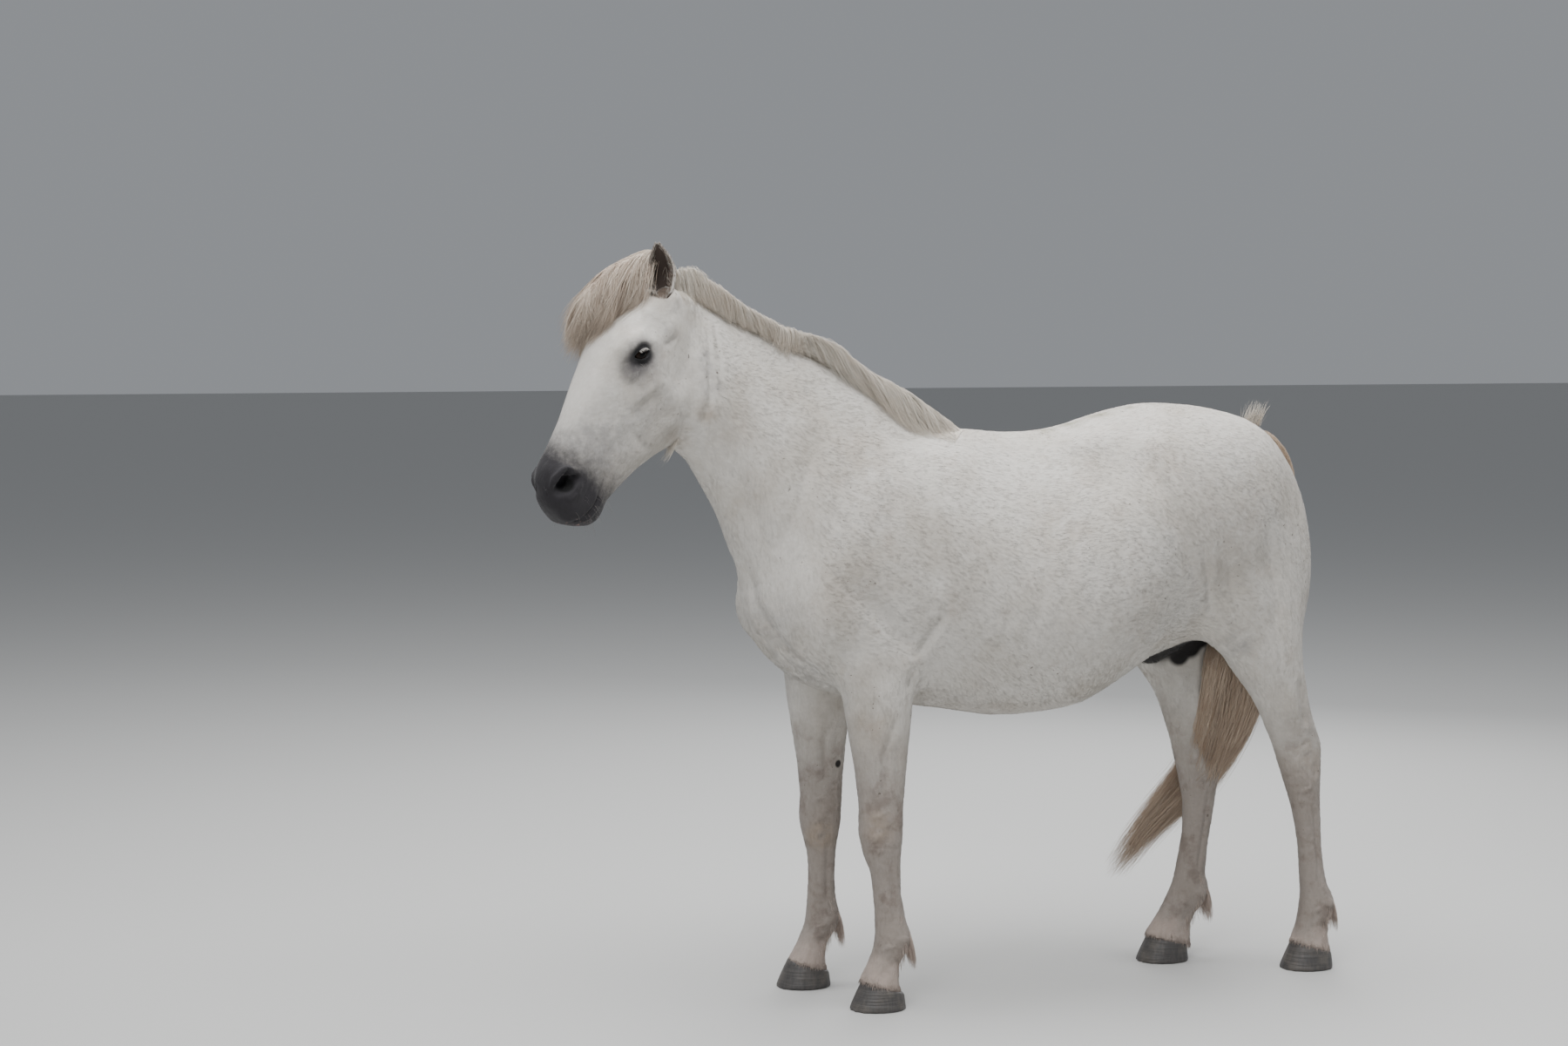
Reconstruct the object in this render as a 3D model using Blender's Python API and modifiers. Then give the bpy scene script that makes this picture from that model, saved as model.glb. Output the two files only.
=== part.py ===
"""A stocky grey-white horse of the Camargue kind, standing, as a still life-size model.

Units are metres. The horse faces -Y, its left side is +X, and its hooves stand on z = 0. Heights, depths and
widths below are those of the coat, before the whole model is moved so that its origin lies on the floor under
the middle of its bounding box.
"""

import math

import bmesh
import bpy
import numpy as np
from mathutils import Matrix, Vector

# Driving dimensions.
WITHERS = 1.40  # height of the withers above the floor
CROUP = 1.452  # height of the croup
HEAD_LENGTH = 0.62  # poll to upper lip
EAR_LENGTH = 0.15
EYE_RADIUS = 0.021
HOOF_FRONT, HOOF_BACK = 0.072, 0.040  # heights of the coronet at the toe and at the heel
CUT = 0.0006  # width of the cuts that part the body into its nodes
GAP = 0.0004  # between pieces that lie against each other
VOXEL = 0.007  # size of the cells that the body's masses are merged with
BODY_TRIANGLES = 3700  # of the merged body before it is cut

# Pose.
POLL = Vector((0.032, -0.439, 1.723))  # top of the head, between the ears
HEAD_YAW = math.radians(24)  # towards the horse's left
HEAD_SLOPE = math.radians(53)  # of the line from poll to nose, below the horizontal
HEAD_ROLL = math.radians(2)  # left side up

# Directions of the head: level, then along its own axes.
FORWARD = Vector((math.sin(HEAD_YAW), -math.cos(HEAD_YAW), 0))
DOWN_FACE = FORWARD * math.cos(HEAD_SLOPE) - Vector((0, 0, 1)) * math.sin(HEAD_SLOPE)
LEVEL_LEFT = Vector((math.cos(HEAD_YAW), math.sin(HEAD_YAW), 0))
LEVEL_OUT = FORWARD * math.sin(HEAD_SLOPE) + Vector((0, 0, 1)) * math.cos(HEAD_SLOPE)
LEFTWARD = LEVEL_LEFT * math.cos(HEAD_ROLL) + LEVEL_OUT * math.sin(HEAD_ROLL)
OUTWARD = LEVEL_OUT * math.cos(HEAD_ROLL) - LEVEL_LEFT * math.sin(HEAD_ROLL)

LEFT, RIGHT = 1, -1
SIDE_NAMES = {LEFT: "left", RIGHT: "right"}


# ---------------------------------------------------------------- shapes


def curve(*points):
    """A smooth function through (place, value) points that doesn't swing past them."""
    at = np.array([p[0] for p in points], float)
    value = np.array([p[1] for p in points], float)
    gap = np.diff(at)
    slope = np.diff(value) / gap
    tangent = np.empty_like(value)
    tangent[0], tangent[-1] = slope[0], slope[-1]
    for i in range(1, len(at) - 1):
        before, after = slope[i - 1], slope[i]
        if before * after <= 0:
            tangent[i] = 0
        else:
            tangent[i] = 3 * (gap[i - 1] + gap[i]) / (
                (2 * gap[i] + gap[i - 1]) / before + (gap[i] + 2 * gap[i - 1]) / after
            )

    def read(place):
        i = int(np.clip(np.searchsorted(at, place) - 1, 0, len(gap) - 1))
        t = np.clip((place - at[i]) / gap[i], 0, 1)
        return float(
            value[i] * (1 + 2 * t) * (1 - t) ** 2
            + tangent[i] * gap[i] * t * (1 - t) ** 2
            + value[i + 1] * t * t * (3 - 2 * t)
            + tangent[i + 1] * gap[i] * t * t * (t - 1)
        )

    return read


def ring(front, back, half_width, across=Vector((1, 0, 0)), widest=0.5, fullness=1.0, sides=24):
    """One cross-section from front to back. It is an oval whose widest place is a share of the way along,
    and a fullness under 1 makes it boxy."""
    bias = math.log(0.5) / math.log(widest)
    points = []
    for i in range(sides):
        turn = 2 * math.pi * i / sides
        along = (1 - math.cos(turn)) / 2
        eased = along**bias
        spread = (4 * max(eased * (1 - eased), 0)) ** (fullness / 2)
        side = math.copysign(spread, math.sin(turn)) if 2 * i % sides else 0
        points.append(front.lerp(back, along) + across * (half_width * side))
    return points


def loft(bm, rings):
    """A closed tube through the rings, with flat ends."""
    rows = [[bm.verts.new(p) for p in points] for points in rings]
    for row, following in zip(rows, rows[1:]):
        for i in range(len(row)):
            j = (i + 1) % len(row)
            bm.faces.new((row[i], row[j], following[j], following[i]))
    bm.faces.new(reversed(rows[0]))
    bm.faces.new(rows[-1])


def muscle(bm, start, end, width, depth, facing=Vector((1, 0, 0)), segments=20):
    """An ellipsoid from start to end, with its depth along facing and its width across that."""
    start, end = Vector(start), Vector(end)
    along = (end - start).normalized()
    out = (Vector(facing) - along * along.dot(facing)).normalized()
    turned = Matrix((out, along.cross(out), along)).transposed().to_4x4()
    sizes = Matrix.Diagonal((depth / 2, width / 2, (end - start).length / 2, 1))
    bmesh.ops.create_uvsphere(
        bm,
        u_segments=segments,
        v_segments=segments * 2 // 3,
        radius=1,
        matrix=Matrix.Translation((start + end) / 2) @ turned @ sizes,
    )


def pair(bm, start, end, width, depth, facing=Vector((1, 0, 0))):
    """The same muscle on both sides of the middle plane, given for the left side."""
    muscle(bm, start, end, width, depth, facing)
    flip = Vector((-1, 1, 1))
    muscle(bm, Vector(start) * flip, Vector(end) * flip, width, depth, Vector(facing) * flip)


def mesh_object(name, bm):
    bmesh.ops.recalc_face_normals(bm, faces=bm.faces)
    bmesh.ops.triangulate(bm, faces=[face for face in bm.faces if len(face.verts) == 4])
    data = bpy.data.meshes.new(name)
    bm.to_mesh(data)
    bm.free()
    made = bpy.data.objects.new(name, data)
    bpy.context.scene.collection.objects.link(made)
    return made


def applied(obj):
    """The object with its modifiers made part of its mesh."""
    graph = bpy.context.evaluated_depsgraph_get()
    data = bpy.data.meshes.new_from_object(obj.evaluated_get(graph))
    obj.modifiers.clear()
    obj.data = data
    return obj


# ---------------------------------------------------------------- trunk and neck

TRUNK_TOP = curve(
    (-0.25, 1.06), (-0.16, 1.18), (0.0, 1.33), (0.15, 1.385), (0.307, WITHERS - 0.002), (0.423, 1.388), (0.54, 1.395),
    (0.682, 1.430), (0.838, CROUP), (1.02, 1.427), (1.12, 1.378), (1.175, 1.28), (1.20, 1.18),
)
TRUNK_BOTTOM = curve(
    (-0.25, 0.93), (-0.20, 0.86), (-0.14, 0.80), (0.0, 0.745), (0.12, 0.722), (0.27, 0.700), (0.40, 0.680),
    (0.55, 0.690), (0.68, 0.745), (0.80, 0.81), (0.95, 0.85), (1.12, 0.90), (1.20, 1.03),
)
TRUNK_HALF_WIDTH = curve(
    (-0.25, 0.08), (-0.19, 0.15), (-0.10, 0.185), (0.05, 0.195), (0.22, 0.235), (0.40, 0.285), (0.55, 0.308),
    (0.70, 0.300), (0.82, 0.280), (0.95, 0.258), (1.06, 0.228), (1.14, 0.170), (1.20, 0.08),
)
TRUNK_WIDEST = curve((-0.25, 0.5), (0.15, 0.52), (0.45, 0.62), (0.62, 0.60), (0.80, 0.48), (1.1, 0.42), (1.3, 0.45))
TRUNK_FULLNESS = curve((-0.25, 0.9), (0.1, 1.0), (0.3, 1.0), (0.6, 0.94), (0.9, 0.88), (1.3, 0.9))


def build_trunk(bm):
    rings = []
    for y in np.linspace(-0.25, 1.20, 40):
        rings.append(
            ring(
                Vector((0, y, TRUNK_TOP(y))),
                Vector((0, y, TRUNK_BOTTOM(y))),
                TRUNK_HALF_WIDTH(y),
                widest=TRUNK_WIDEST(y),
                fullness=TRUNK_FULLNESS(y),
                sides=36,
            )
        )
    loft(bm, rings)


# Crest and underline of the neck, from the trunk (0) to the head (1).
CREST_Y = curve((0, 0.32), (0.25, 0.13), (0.5, -0.06), (0.75, -0.235), (1, -0.385))
CREST_Z = curve((0, 1.375), (0.25, 1.480), (0.5, 1.582), (0.75, 1.655), (1, 1.722))
THROAT_Y = curve((0, -0.20), (0.3, -0.262), (0.6, -0.30), (1, -0.385))
THROAT_Z = curve((0, 0.87), (0.3, 1.04), (0.6, 1.155), (1, 1.315))
NECK_HALF_WIDTH = curve((0, 0.190), (0.25, 0.150), (0.5, 0.115), (0.75, 0.092), (1, 0.080))
NECK_BEND = curve((0, 0), (0.4, 0.002), (0.75, 0.012), (1, 0.034))
NECK_TURN = curve((0, 0), (0.4, 0.03), (1, 0.30))
NECK_WIDEST = curve((0, 0.6), (0.5, 0.66), (1, 0.62))
NECK_FULLNESS = curve((0, 1.15), (0.5, 1.15), (1, 1.05))


def neck_ring(s, grow=0.0, sides=28):
    across = Vector((1, NECK_TURN(s), 0)).normalized()
    crest = Vector((NECK_BEND(s), CREST_Y(s), CREST_Z(s)))
    throat = Vector((NECK_BEND(s), THROAT_Y(s), THROAT_Z(s)))
    return ring(
        crest,
        throat,
        NECK_HALF_WIDTH(s) + grow,
        across=across,
        widest=NECK_WIDEST(s),
        fullness=NECK_FULLNESS(s),
        sides=sides,
    )


def neck_root(t):
    """The end of the neck inside the head, behind the cheeks."""
    return ring(
        Vector((NECK_BEND(1), CREST_Y(1), CREST_Z(1))) + FORWARD * 0.07 * t,
        Vector((NECK_BEND(1), THROAT_Y(1), THROAT_Z(1) + 0.055 * t)) + FORWARD * 0.075 * t,
        NECK_HALF_WIDTH(1) * (1 - 0.3 * t),
        across=LEVEL_LEFT,
        widest=NECK_WIDEST(1),
        fullness=NECK_FULLNESS(1),
        sides=28,
    )


def build_neck(bm):
    loft(bm, [neck_ring(s) for s in np.linspace(0, 1, 26)] + [neck_root(t) for t in (0.35, 0.7, 1)])


def build_body_muscles(bm):
    # Shoulder blade, upper arm and the point of the shoulder.
    pair(bm, (0.10, 0.17, 1.30), (0.150, -0.08, 1.00), 0.24, 0.10)
    pair(bm, (0.115, 0.16, 1.14), (0.145, 0.045, 0.79), 0.24, 0.13)
    pair(bm, (0.130, -0.10, 1.08), (0.115, -0.06, 0.82), 0.19, 0.15)
    # Breast.
    pair(bm, (0.070, -0.135, 1.06), (0.080, -0.130, 0.83), 0.16, 0.17)
    # Girth behind the elbow.
    pair(bm, (0.10, 0.05, 0.86), (0.145, 0.38, 0.90), 0.25, 0.12)
    # Loin and croup, hip bone, rump, buttock and thigh.
    pair(bm, (0.075, 0.50, 1.335), (0.09, 1.02, 1.375), 0.15, 0.10, (0, 0, 1))
    pair(bm, (0.175, 0.72, 1.31), (0.195, 0.88, 1.18), 0.16, 0.08)
    pair(bm, (0.130, 0.80, 1.33), (0.150, 1.10, 1.04), 0.30, 0.20)
    pair(bm, (0.080, 1.07, 1.38), (0.110, 1.135, 0.82), 0.24, 0.22)
    pair(bm, (0.140, 0.93, 1.22), (0.150, 1.04, 0.80), 0.28, 0.15)
    # Sheath.
    muscle(bm, (0, 0.76, 0.80), (0, 0.93, 0.885), 0.080, 0.075, (0, 0, 1))


# ---------------------------------------------------------------- legs
# Front and back edge of each leg as seen from the side, and its half width, by height. The edges are measured
# from the leg's own line.

FORE_TOP, HIND_TOP = 0.95, 1.12
FORE_FRONT = curve(
    (0.02, -0.095), (0.07, -0.078), (0.115, -0.054), (0.155, -0.038), (0.19, -0.035), (0.25, -0.033), (0.33, -0.037),
    (0.37, -0.050), (0.43, -0.060), (0.48, -0.056), (0.55, -0.060), (0.65, -0.074), (0.76, -0.092), (0.95, -0.14),
)
FORE_BACK = curve(
    (0.02, 0.022), (0.07, 0.016), (0.11, 0.022), (0.145, 0.050), (0.175, 0.058), (0.21, 0.046), (0.28, 0.038),
    (0.36, 0.042), (0.42, 0.052), (0.46, 0.054), (0.55, 0.062), (0.65, 0.074), (0.74, 0.086), (0.95, 0.13),
)
FORE_HALF_WIDTH = curve(
    (0.02, 0.050), (0.07, 0.045), (0.11, 0.038), (0.16, 0.040), (0.20, 0.032), (0.28, 0.029), (0.36, 0.036),
    (0.42, 0.044), (0.48, 0.043), (0.56, 0.049), (0.68, 0.060), (0.78, 0.068), (0.95, 0.060),
)
HIND_FRONT = curve(
    (0.02, -0.090), (0.07, -0.075), (0.115, -0.055), (0.16, -0.042), (0.20, -0.036), (0.30, -0.036), (0.40, -0.045),
    (0.46, -0.060), (0.54, -0.086), (0.60, -0.105), (0.70, -0.145), (0.80, -0.220), (0.92, -0.27), (1.12, -0.24),
)
HIND_BACK = curve(
    (0.02, 0.034), (0.07, 0.028), (0.11, 0.030), (0.145, 0.054), (0.175, 0.058), (0.22, 0.038), (0.32, 0.030),
    (0.44, 0.030), (0.52, 0.038), (0.58, 0.042), (0.63, 0.024), (0.70, 0.006), (0.80, -0.002), (0.90, 0.006),
    (1.0, 0.015), (1.12, 0.00),
)
HIND_HALF_WIDTH = curve(
    (0.02, 0.050), (0.07, 0.044), (0.11, 0.038), (0.16, 0.041), (0.21, 0.033), (0.32, 0.030), (0.43, 0.037),
    (0.50, 0.043), (0.57, 0.039), (0.64, 0.050), (0.74, 0.068), (0.86, 0.085), (1.0, 0.080), (1.12, 0.05),
)


class Leg:
    """One leg: how far out and how far back its line runs, by height, and how thick it is from front to back."""

    def __init__(self, which, side, out, back, depth=1.0):
        self.which, self.side = which, side
        self.name = f"{which}_{{}}_{SIDE_NAMES[side]}"
        self.out, self.line_back, self.depth = out, back, depth
        fore = which == "fore"
        self.top = FORE_TOP if fore else HIND_TOP
        self.front = FORE_FRONT if fore else HIND_FRONT
        self.back = FORE_BACK if fore else HIND_BACK
        self.half_width = FORE_HALF_WIDTH if fore else HIND_HALF_WIDTH

    def ring_at(self, z, sides=20):
        x, y = self.side * self.out(z), self.line_back(z)
        return ring(
            Vector((x, y + self.front(z) * self.depth, z)),
            Vector((x, y + self.back(z) * self.depth, z)),
            self.half_width(z),
            widest=0.5,
            fullness=0.9,
            sides=sides,
        )


LEGS = (
    Leg("fore", LEFT, curve((0, 0.135), (0.95, 0.125)), curve((0, 0.087), (0.2, 0.077), (0.45, 0.060), (0.95, 0.047))),
    Leg(
        "fore",
        RIGHT,
        curve((0, 0.130), (0.95, 0.125)),
        curve((0, -0.012), (0.2, -0.008), (0.4, -0.003), (0.6, -0.008), (0.78, -0.010), (0.95, 0.020)),
        0.97,
    ),
    Leg(
        "hind",
        LEFT,
        curve((0, 0.100), (0.5, 0.110), (1.12, 0.130)),
        curve((0, 1.272), (0.2, 1.250), (0.45, 1.228), (0.6, 1.217), (0.8, 1.198), (1.12, 1.165)),
        0.96,
    ),
    Leg(
        "hind",
        RIGHT,
        curve((0, 0.090), (0.5, 0.100), (1.12, 0.130)),
        curve((0, 0.958), (0.1, 0.968), (0.2, 0.994), (0.3, 1.016), (0.45, 1.041), (0.6, 1.058), (0.8, 1.085), (1.12, 1.130)),
        1.16,
    ),
)


def build_leg(bm, leg):
    loft(bm, [leg.ring_at(z) for z in np.linspace(0.03, leg.top, 48)])


# ---------------------------------------------------------------- head
# Along the head from the poll to the lip, in metres. Heights are above the line from the poll towards the nose.

FACE = curve(
    (0.0, 0.008), (0.05, 0.052), (0.10, 0.076), (0.16, 0.090), (0.22, 0.096), (0.28, 0.090), (0.36, 0.079),
    (0.44, 0.069), (0.50, 0.064), (0.545, 0.060), (0.575, 0.047), (0.60, 0.025), (0.615, 0.0), (0.622, -0.035),
)
JAW = curve(
    (0.0, -0.10), (0.10, -0.125), (0.15, -0.145), (0.20, -0.175), (0.25, -0.200), (0.295, -0.206), (0.34, -0.183),
    (0.385, -0.163), (0.44, -0.146), (0.50, -0.134), (0.55, -0.132), (0.585, -0.118), (0.61, -0.090), (0.622, -0.065),
)
HEAD_HALF_WIDTH = curve(
    (0.0, 0.062), (0.05, 0.076), (0.10, 0.088), (0.16, 0.094), (0.22, 0.096), (0.28, 0.088), (0.34, 0.077),
    (0.40, 0.063), (0.46, 0.053), (0.50, 0.050), (0.54, 0.053), (0.58, 0.050), (0.61, 0.040), (0.622, 0.028),
)
HEAD_WIDEST = curve((0.0, 0.4), (0.15, 0.38), (0.25, 0.42), (0.35, 0.46), (0.45, 0.48), (0.55, 0.45), (0.62, 0.5))
HEAD_FULLNESS = curve((0.0, 0.9), (0.15, 0.70), (0.35, 0.72), (0.5, 0.68), (0.57, 0.72), (0.62, 0.9))


def on_head(left, along, out):
    """A point given by how far it is to the left, down from the poll, and out from the poll-to-nose line."""
    return POLL + LEFTWARD * left + DOWN_FACE * along + OUTWARD * out


def way_on_head(left, along, out):
    return (LEFTWARD * left + DOWN_FACE * along + OUTWARD * out).normalized()


def head_muscle(bm, start, end, width, depth, facing=(1, 0, 0)):
    muscle(bm, on_head(*start), on_head(*end), width, depth, way_on_head(*facing))


def head_pair(bm, start, end, width, depth, facing=(1, 0, 0)):
    for side in (LEFT, RIGHT):
        flip = lambda p: (p[0] * side, p[1], p[2])
        head_muscle(bm, flip(start), flip(end), width, depth, flip(facing))


def build_head(bm):
    rings = []
    for along in np.concatenate((np.linspace(0, 0.58, 30), (0.593, 0.604, 0.613, 0.619, 0.622))):
        rings.append(
            ring(
                on_head(0, along, FACE(along)),
                on_head(0, along, JAW(along)),
                HEAD_HALF_WIDTH(along),
                across=LEFTWARD,
                widest=HEAD_WIDEST(along),
                fullness=HEAD_FULLNESS(along),
                sides=28,
            )
        )
    loft(bm, rings)
    # Brow and orbit.
    head_pair(bm, (0.074, 0.150, 0.052), (0.070, 0.255, 0.062), 0.056, 0.054)
    head_pair(bm, (0.076, 0.165, 0.004), (0.072, 0.262, 0.020), 0.050, 0.042)
    # Cheek, with the facial crest above it.
    head_pair(bm, (0.062, 0.150, -0.075), (0.058, 0.320, -0.135), 0.130, 0.058)
    head_pair(bm, (0.078, 0.220, -0.010), (0.055, 0.390, -0.012), 0.030, 0.028)
    # Nostril wings, lips and chin.
    head_pair(bm, (0.040, 0.515, 0.030), (0.036, 0.585, 0.000), 0.055, 0.045)
    head_pair(bm, (0.030, 0.480, -0.055), (0.022, 0.610, -0.045), 0.060, 0.050)
    head_muscle(bm, (0, 0.500, -0.115), (0, 0.595, -0.112), 0.062, 0.050, (0, 0, 1))
    # Base of the ears.
    head_pair(bm, (0.040, 0.050, 0.000), (0.062, 0.045, 0.048), 0.070, 0.062)


# ---------------------------------------------------------------- eyes, nostrils and mouth

EYE = (0.0765, 0.209, 0.034)  # centre of the left eyeball on the head


def ball(bm, centre, radius, segments=14):
    bmesh.ops.create_uvsphere(
        bm,
        u_segments=segments,
        v_segments=segments * 5 // 8,
        radius=radius,
        matrix=Matrix.Translation(centre),
    )


def eye_centre(side):
    return on_head(EYE[0] * side, EYE[1], EYE[2])


def build_nostril_hollows(bm):
    for side in (LEFT, RIGHT):
        start, end = on_head(0.046 * side, 0.522, 0.022), on_head(0.050 * side, 0.592, 0.010)
        muscle(bm, start, end, 0.026, 0.036, way_on_head(side, 0.55, 0.25), 12)


# The mouth is a groove round the muzzle, at this height, from corner to corner.
MOUTH_CORNER = 0.487
MOUTH_HEIGHT = curve((0.48, -0.084), (0.54, -0.088), (0.59, -0.082), (0.625, -0.066))
MOUTH_DEPTH, MOUTH_WIDTH = 0.009, 0.0024


def build_mouth_groove(bm):
    along = MOUTH_CORNER + (0.618 - MOUTH_CORNER) * np.sin(np.linspace(0, math.pi / 2, 9))
    half = [head_half_width_at(a, MOUTH_HEIGHT(a)) for a in along]
    path = [(half[i], along[i]) for i in range(9)] + [(-half[i], along[i]) for i in reversed(range(9))]
    inner, outer = [], []
    for i, (left, a) in enumerate(path):
        before, after = path[max(i - 1, 0)], path[min(i + 1, len(path) - 1)]
        run = Vector((after[0] - before[0], after[1] - before[1])).normalized()
        away = Vector((-run.y, run.x)) * -1
        if away.dot(Vector((left, a - MOUTH_CORNER))) < 0:
            away = -away
        fade = min(1, 4 * min(i, len(path) - 1 - i) / (len(path) - 1) + 0.15)
        inner.append((left - away.x * MOUTH_DEPTH * fade, a - away.y * MOUTH_DEPTH * fade))
        outer.append((left + away.x * 0.02, a + away.y * 0.02))
    rings = []
    for (li, ai), (lo, ao) in zip(inner, outer):
        height = MOUTH_HEIGHT(min(ao, 0.625))
        rings.append(
            [
                on_head(li, ai, height - MOUTH_WIDTH / 4),
                on_head(lo, ao, height - MOUTH_WIDTH / 2),
                on_head(lo, ao, height + MOUTH_WIDTH / 2),
                on_head(li, ai, height + MOUTH_WIDTH / 4),
            ]
        )
    loft(bm, rings)


def head_half_width_at(along, out):
    """Half width of the head loft at a height on it."""
    share = (FACE(along) - out) / (FACE(along) - JAW(along))
    eased = share ** (math.log(0.5) / math.log(HEAD_WIDEST(along)))
    return HEAD_HALF_WIDTH(along) * (4 * eased * (1 - eased)) ** (HEAD_FULLNESS(along) / 2)


# ---------------------------------------------------------------- ears

EAR_HALF_WIDTH = curve((0, 0.022), (0.2, 0.030), (0.42, 0.033), (0.65, 0.027), (0.85, 0.014), (1, 0.002))
EAR_DEPTH = curve((0, 0.024), (0.3, 0.026), (0.7, 0.014), (1, 0.002))
EAR_WRAP = curve((0, 2.75), (0.2, 2.25), (0.5, 1.85), (1, 1.5))  # radians to each side of the ear's back
EAR_THICKNESS = curve((0, 0.006), (0.6, 0.004), (1, 0.0012))


def build_ear(bm, base, tip, opening, hook):
    """A cupped leaf from base to tip, with its hollow towards the opening and its tip hooked that way."""
    along = (tip - base).normalized()
    facing = (opening - along * opening.dot(along)).normalized()
    across = along.cross(facing)
    rings = []
    for t in np.linspace(0, 1, 8):
        middle = base.lerp(tip, t) - facing * (0.014 * math.sin(math.pi * t)) + facing * (hook * t**3)
        outer, inner = [], []
        for turn in np.linspace(-1, 1, 7):
            angle = turn * EAR_WRAP(t)
            way = across * math.sin(angle) * EAR_HALF_WIDTH(t) - facing * math.cos(angle) * EAR_DEPTH(t)
            outer.append(middle + way)
            inner.append(middle + way * (1 - EAR_THICKNESS(t) / way.length))
        rings.append(outer + inner[::-1])
    loft(bm, rings)


# ---------------------------------------------------------------- long hair


def smooth_path(points, count):
    """Evenly spread points on a smooth path through the given ones."""
    places = np.linspace(0, 1, len(points))
    axes = [curve(*[(t, point[i]) for t, point in zip(places, points)]) for i in range(len(points[0]))]
    return [tuple(axis(t) for axis in axes) for t in np.linspace(0, 1, count)]


# How far the mane falls to each side of the crest, how thick it is and how high it stands on the crest, from the
# withers (0) to the poll (1).
MANE_RIGHT = curve((0, 0.06), (0.12, 0.14), (0.35, 0.20), (0.7, 0.22), (0.9, 0.16), (1, 0.09))
MANE_LEFT = curve((0, 0.03), (0.15, 0.055), (0.35, 0.045), (0.5, 0.022), (0.8, 0.018), (1, 0.045))
MANE_THICKNESS = curve((0, 0.026), (0.2, 0.044), (0.5, 0.044), (0.85, 0.038), (1, 0.030))
MANE_RISE = curve((0, 0.030), (0.3, 0.036), (0.5, 0.040), (0.65, 0.032), (0.82, 0.042), (1, 0.082))


def build_mane(bm):
    rings = []
    for s in np.concatenate((np.linspace(0.03, 1.0, 10), (1.10, 1.2))):
        past = max(s - 1, 0)
        s = min(s, 1)
        across = Vector((1, NECK_TURN(s), 0)).normalized()
        ahead = FORWARD * past * 0.55
        crest = Vector((NECK_BEND(s), CREST_Y(s), CREST_Z(s))) + ahead
        throat = Vector((NECK_BEND(s), THROAT_Y(s), THROAT_Z(s))) + ahead
        down = (throat - crest).normalized()
        depth = (throat - crest).length
        thick, rise = MANE_THICKNESS(s), MANE_RISE(s)

        def on_side(fall, side, lift, up=0):
            eased = (fall / depth) ** (math.log(0.5) / math.log(NECK_WIDEST(s)))
            spread = (4 * eased * (1 - eased)) ** (NECK_FULLNESS(s) / 2)
            return crest + down * (fall - up) + across * side * (NECK_HALF_WIDTH(s) * spread + lift)

        right, left = MANE_RIGHT(s), MANE_LEFT(s)
        rings.append(
            [
                on_side(left, LEFT, -0.016),
                on_side(left, LEFT, thick * 0.45),
                on_side(left * 0.4, LEFT, thick * 0.6, rise * 0.6),
                crest - down * rise,
                on_side(0.03, RIGHT, thick * 1.1, rise * 0.7),
                on_side(right * 0.35, RIGHT, thick, rise * 0.2),
                on_side(right * 0.7, RIGHT, thick),
                on_side(right, RIGHT, thick * 0.4),
                on_side(right, RIGHT, -0.016),
                on_side(right * 0.6, RIGHT, -0.020),
                on_side(right * 0.25, RIGHT, -0.024),
                crest + down * 0.04,
            ]
        )
    loft(bm, rings)


# The forelock from the poll to its tips: to the left, along the head, top, bottom and half width.
FORELOCK = (
    (0.000, -0.080, 0.070, -0.010, 0.036),
    (0.000, -0.030, 0.108, 0.010, 0.046),
    (-0.012, 0.035, 0.142, 0.020, 0.058),
    (-0.034, 0.095, 0.158, 0.035, 0.064),
    (-0.056, 0.145, 0.158, 0.050, 0.060),
    (-0.072, 0.185, 0.148, 0.060, 0.048),
    (-0.082, 0.220, 0.132, 0.070, 0.032),
    (-0.088, 0.248, 0.112, 0.080, 0.010),
)


def build_forelock(bm):
    rings = []
    for left, along, top, bottom, half in smooth_path(FORELOCK, 9):
        rings.append(
            ring(
                on_head(left, along - 0.3 * (top - 0.1), top),
                on_head(left, along + 0.3 * (0.1 - bottom), bottom),
                half,
                across=LEFTWARD,
                widest=0.55,
                fullness=0.9,
                sides=12,
            )
        )
    loft(bm, rings)


# The tail from the dock to its tip: place, then half thickness across and along the body.
TAIL = (
    (0.000, 1.095, 1.372, 0.026, 0.028),
    (0.000, 1.160, 1.335, 0.036, 0.034),
    (-0.004, 1.200, 1.240, 0.044, 0.038),
    (-0.012, 1.205, 1.090, 0.052, 0.046),
    (-0.016, 1.165, 0.940, 0.056, 0.082),
    (-0.022, 1.100, 0.790, 0.054, 0.108),
    (-0.066, 1.085, 0.640, 0.062, 0.096),
    (-0.132, 1.055, 0.500, 0.056, 0.068),
    (-0.180, 0.980, 0.390, 0.038, 0.046),
    (-0.195, 0.905, 0.305, 0.022, 0.026),
    (-0.200, 0.855, 0.240, 0.006, 0.008),
)


def build_tail(bm):
    stops = smooth_path(TAIL, 13)
    rings = []
    for i, stop in enumerate(stops):
        before, after = stops[max(i - 1, 0)], stops[min(i + 1, len(stops) - 1)]
        run = (Vector(after[:3]) - Vector(before[:3])).normalized()
        across = (Vector((1, 0, 0)) - run * run.x).normalized()
        out = run.cross(across)
        middle = Vector(stop[:3])
        rings.append(ring(middle - out * stop[4], middle + out * stop[4], stop[3], across=across, sides=10))
    loft(bm, rings)


# ---------------------------------------------------------------- hooves


def coronet_plane(leg):
    """A point on the coronet's plane and the plane's normal, for the leg's hoof."""
    x, y = leg.side * leg.out(0), leg.line_back(0)
    front, back = leg.front(0.05) * leg.depth, leg.back(0.05) * leg.depth
    slope = (HOOF_FRONT - HOOF_BACK) / (back - front)
    return Vector((x, y + front, HOOF_FRONT)), Vector((0, slope, 1)).normalized()


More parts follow.
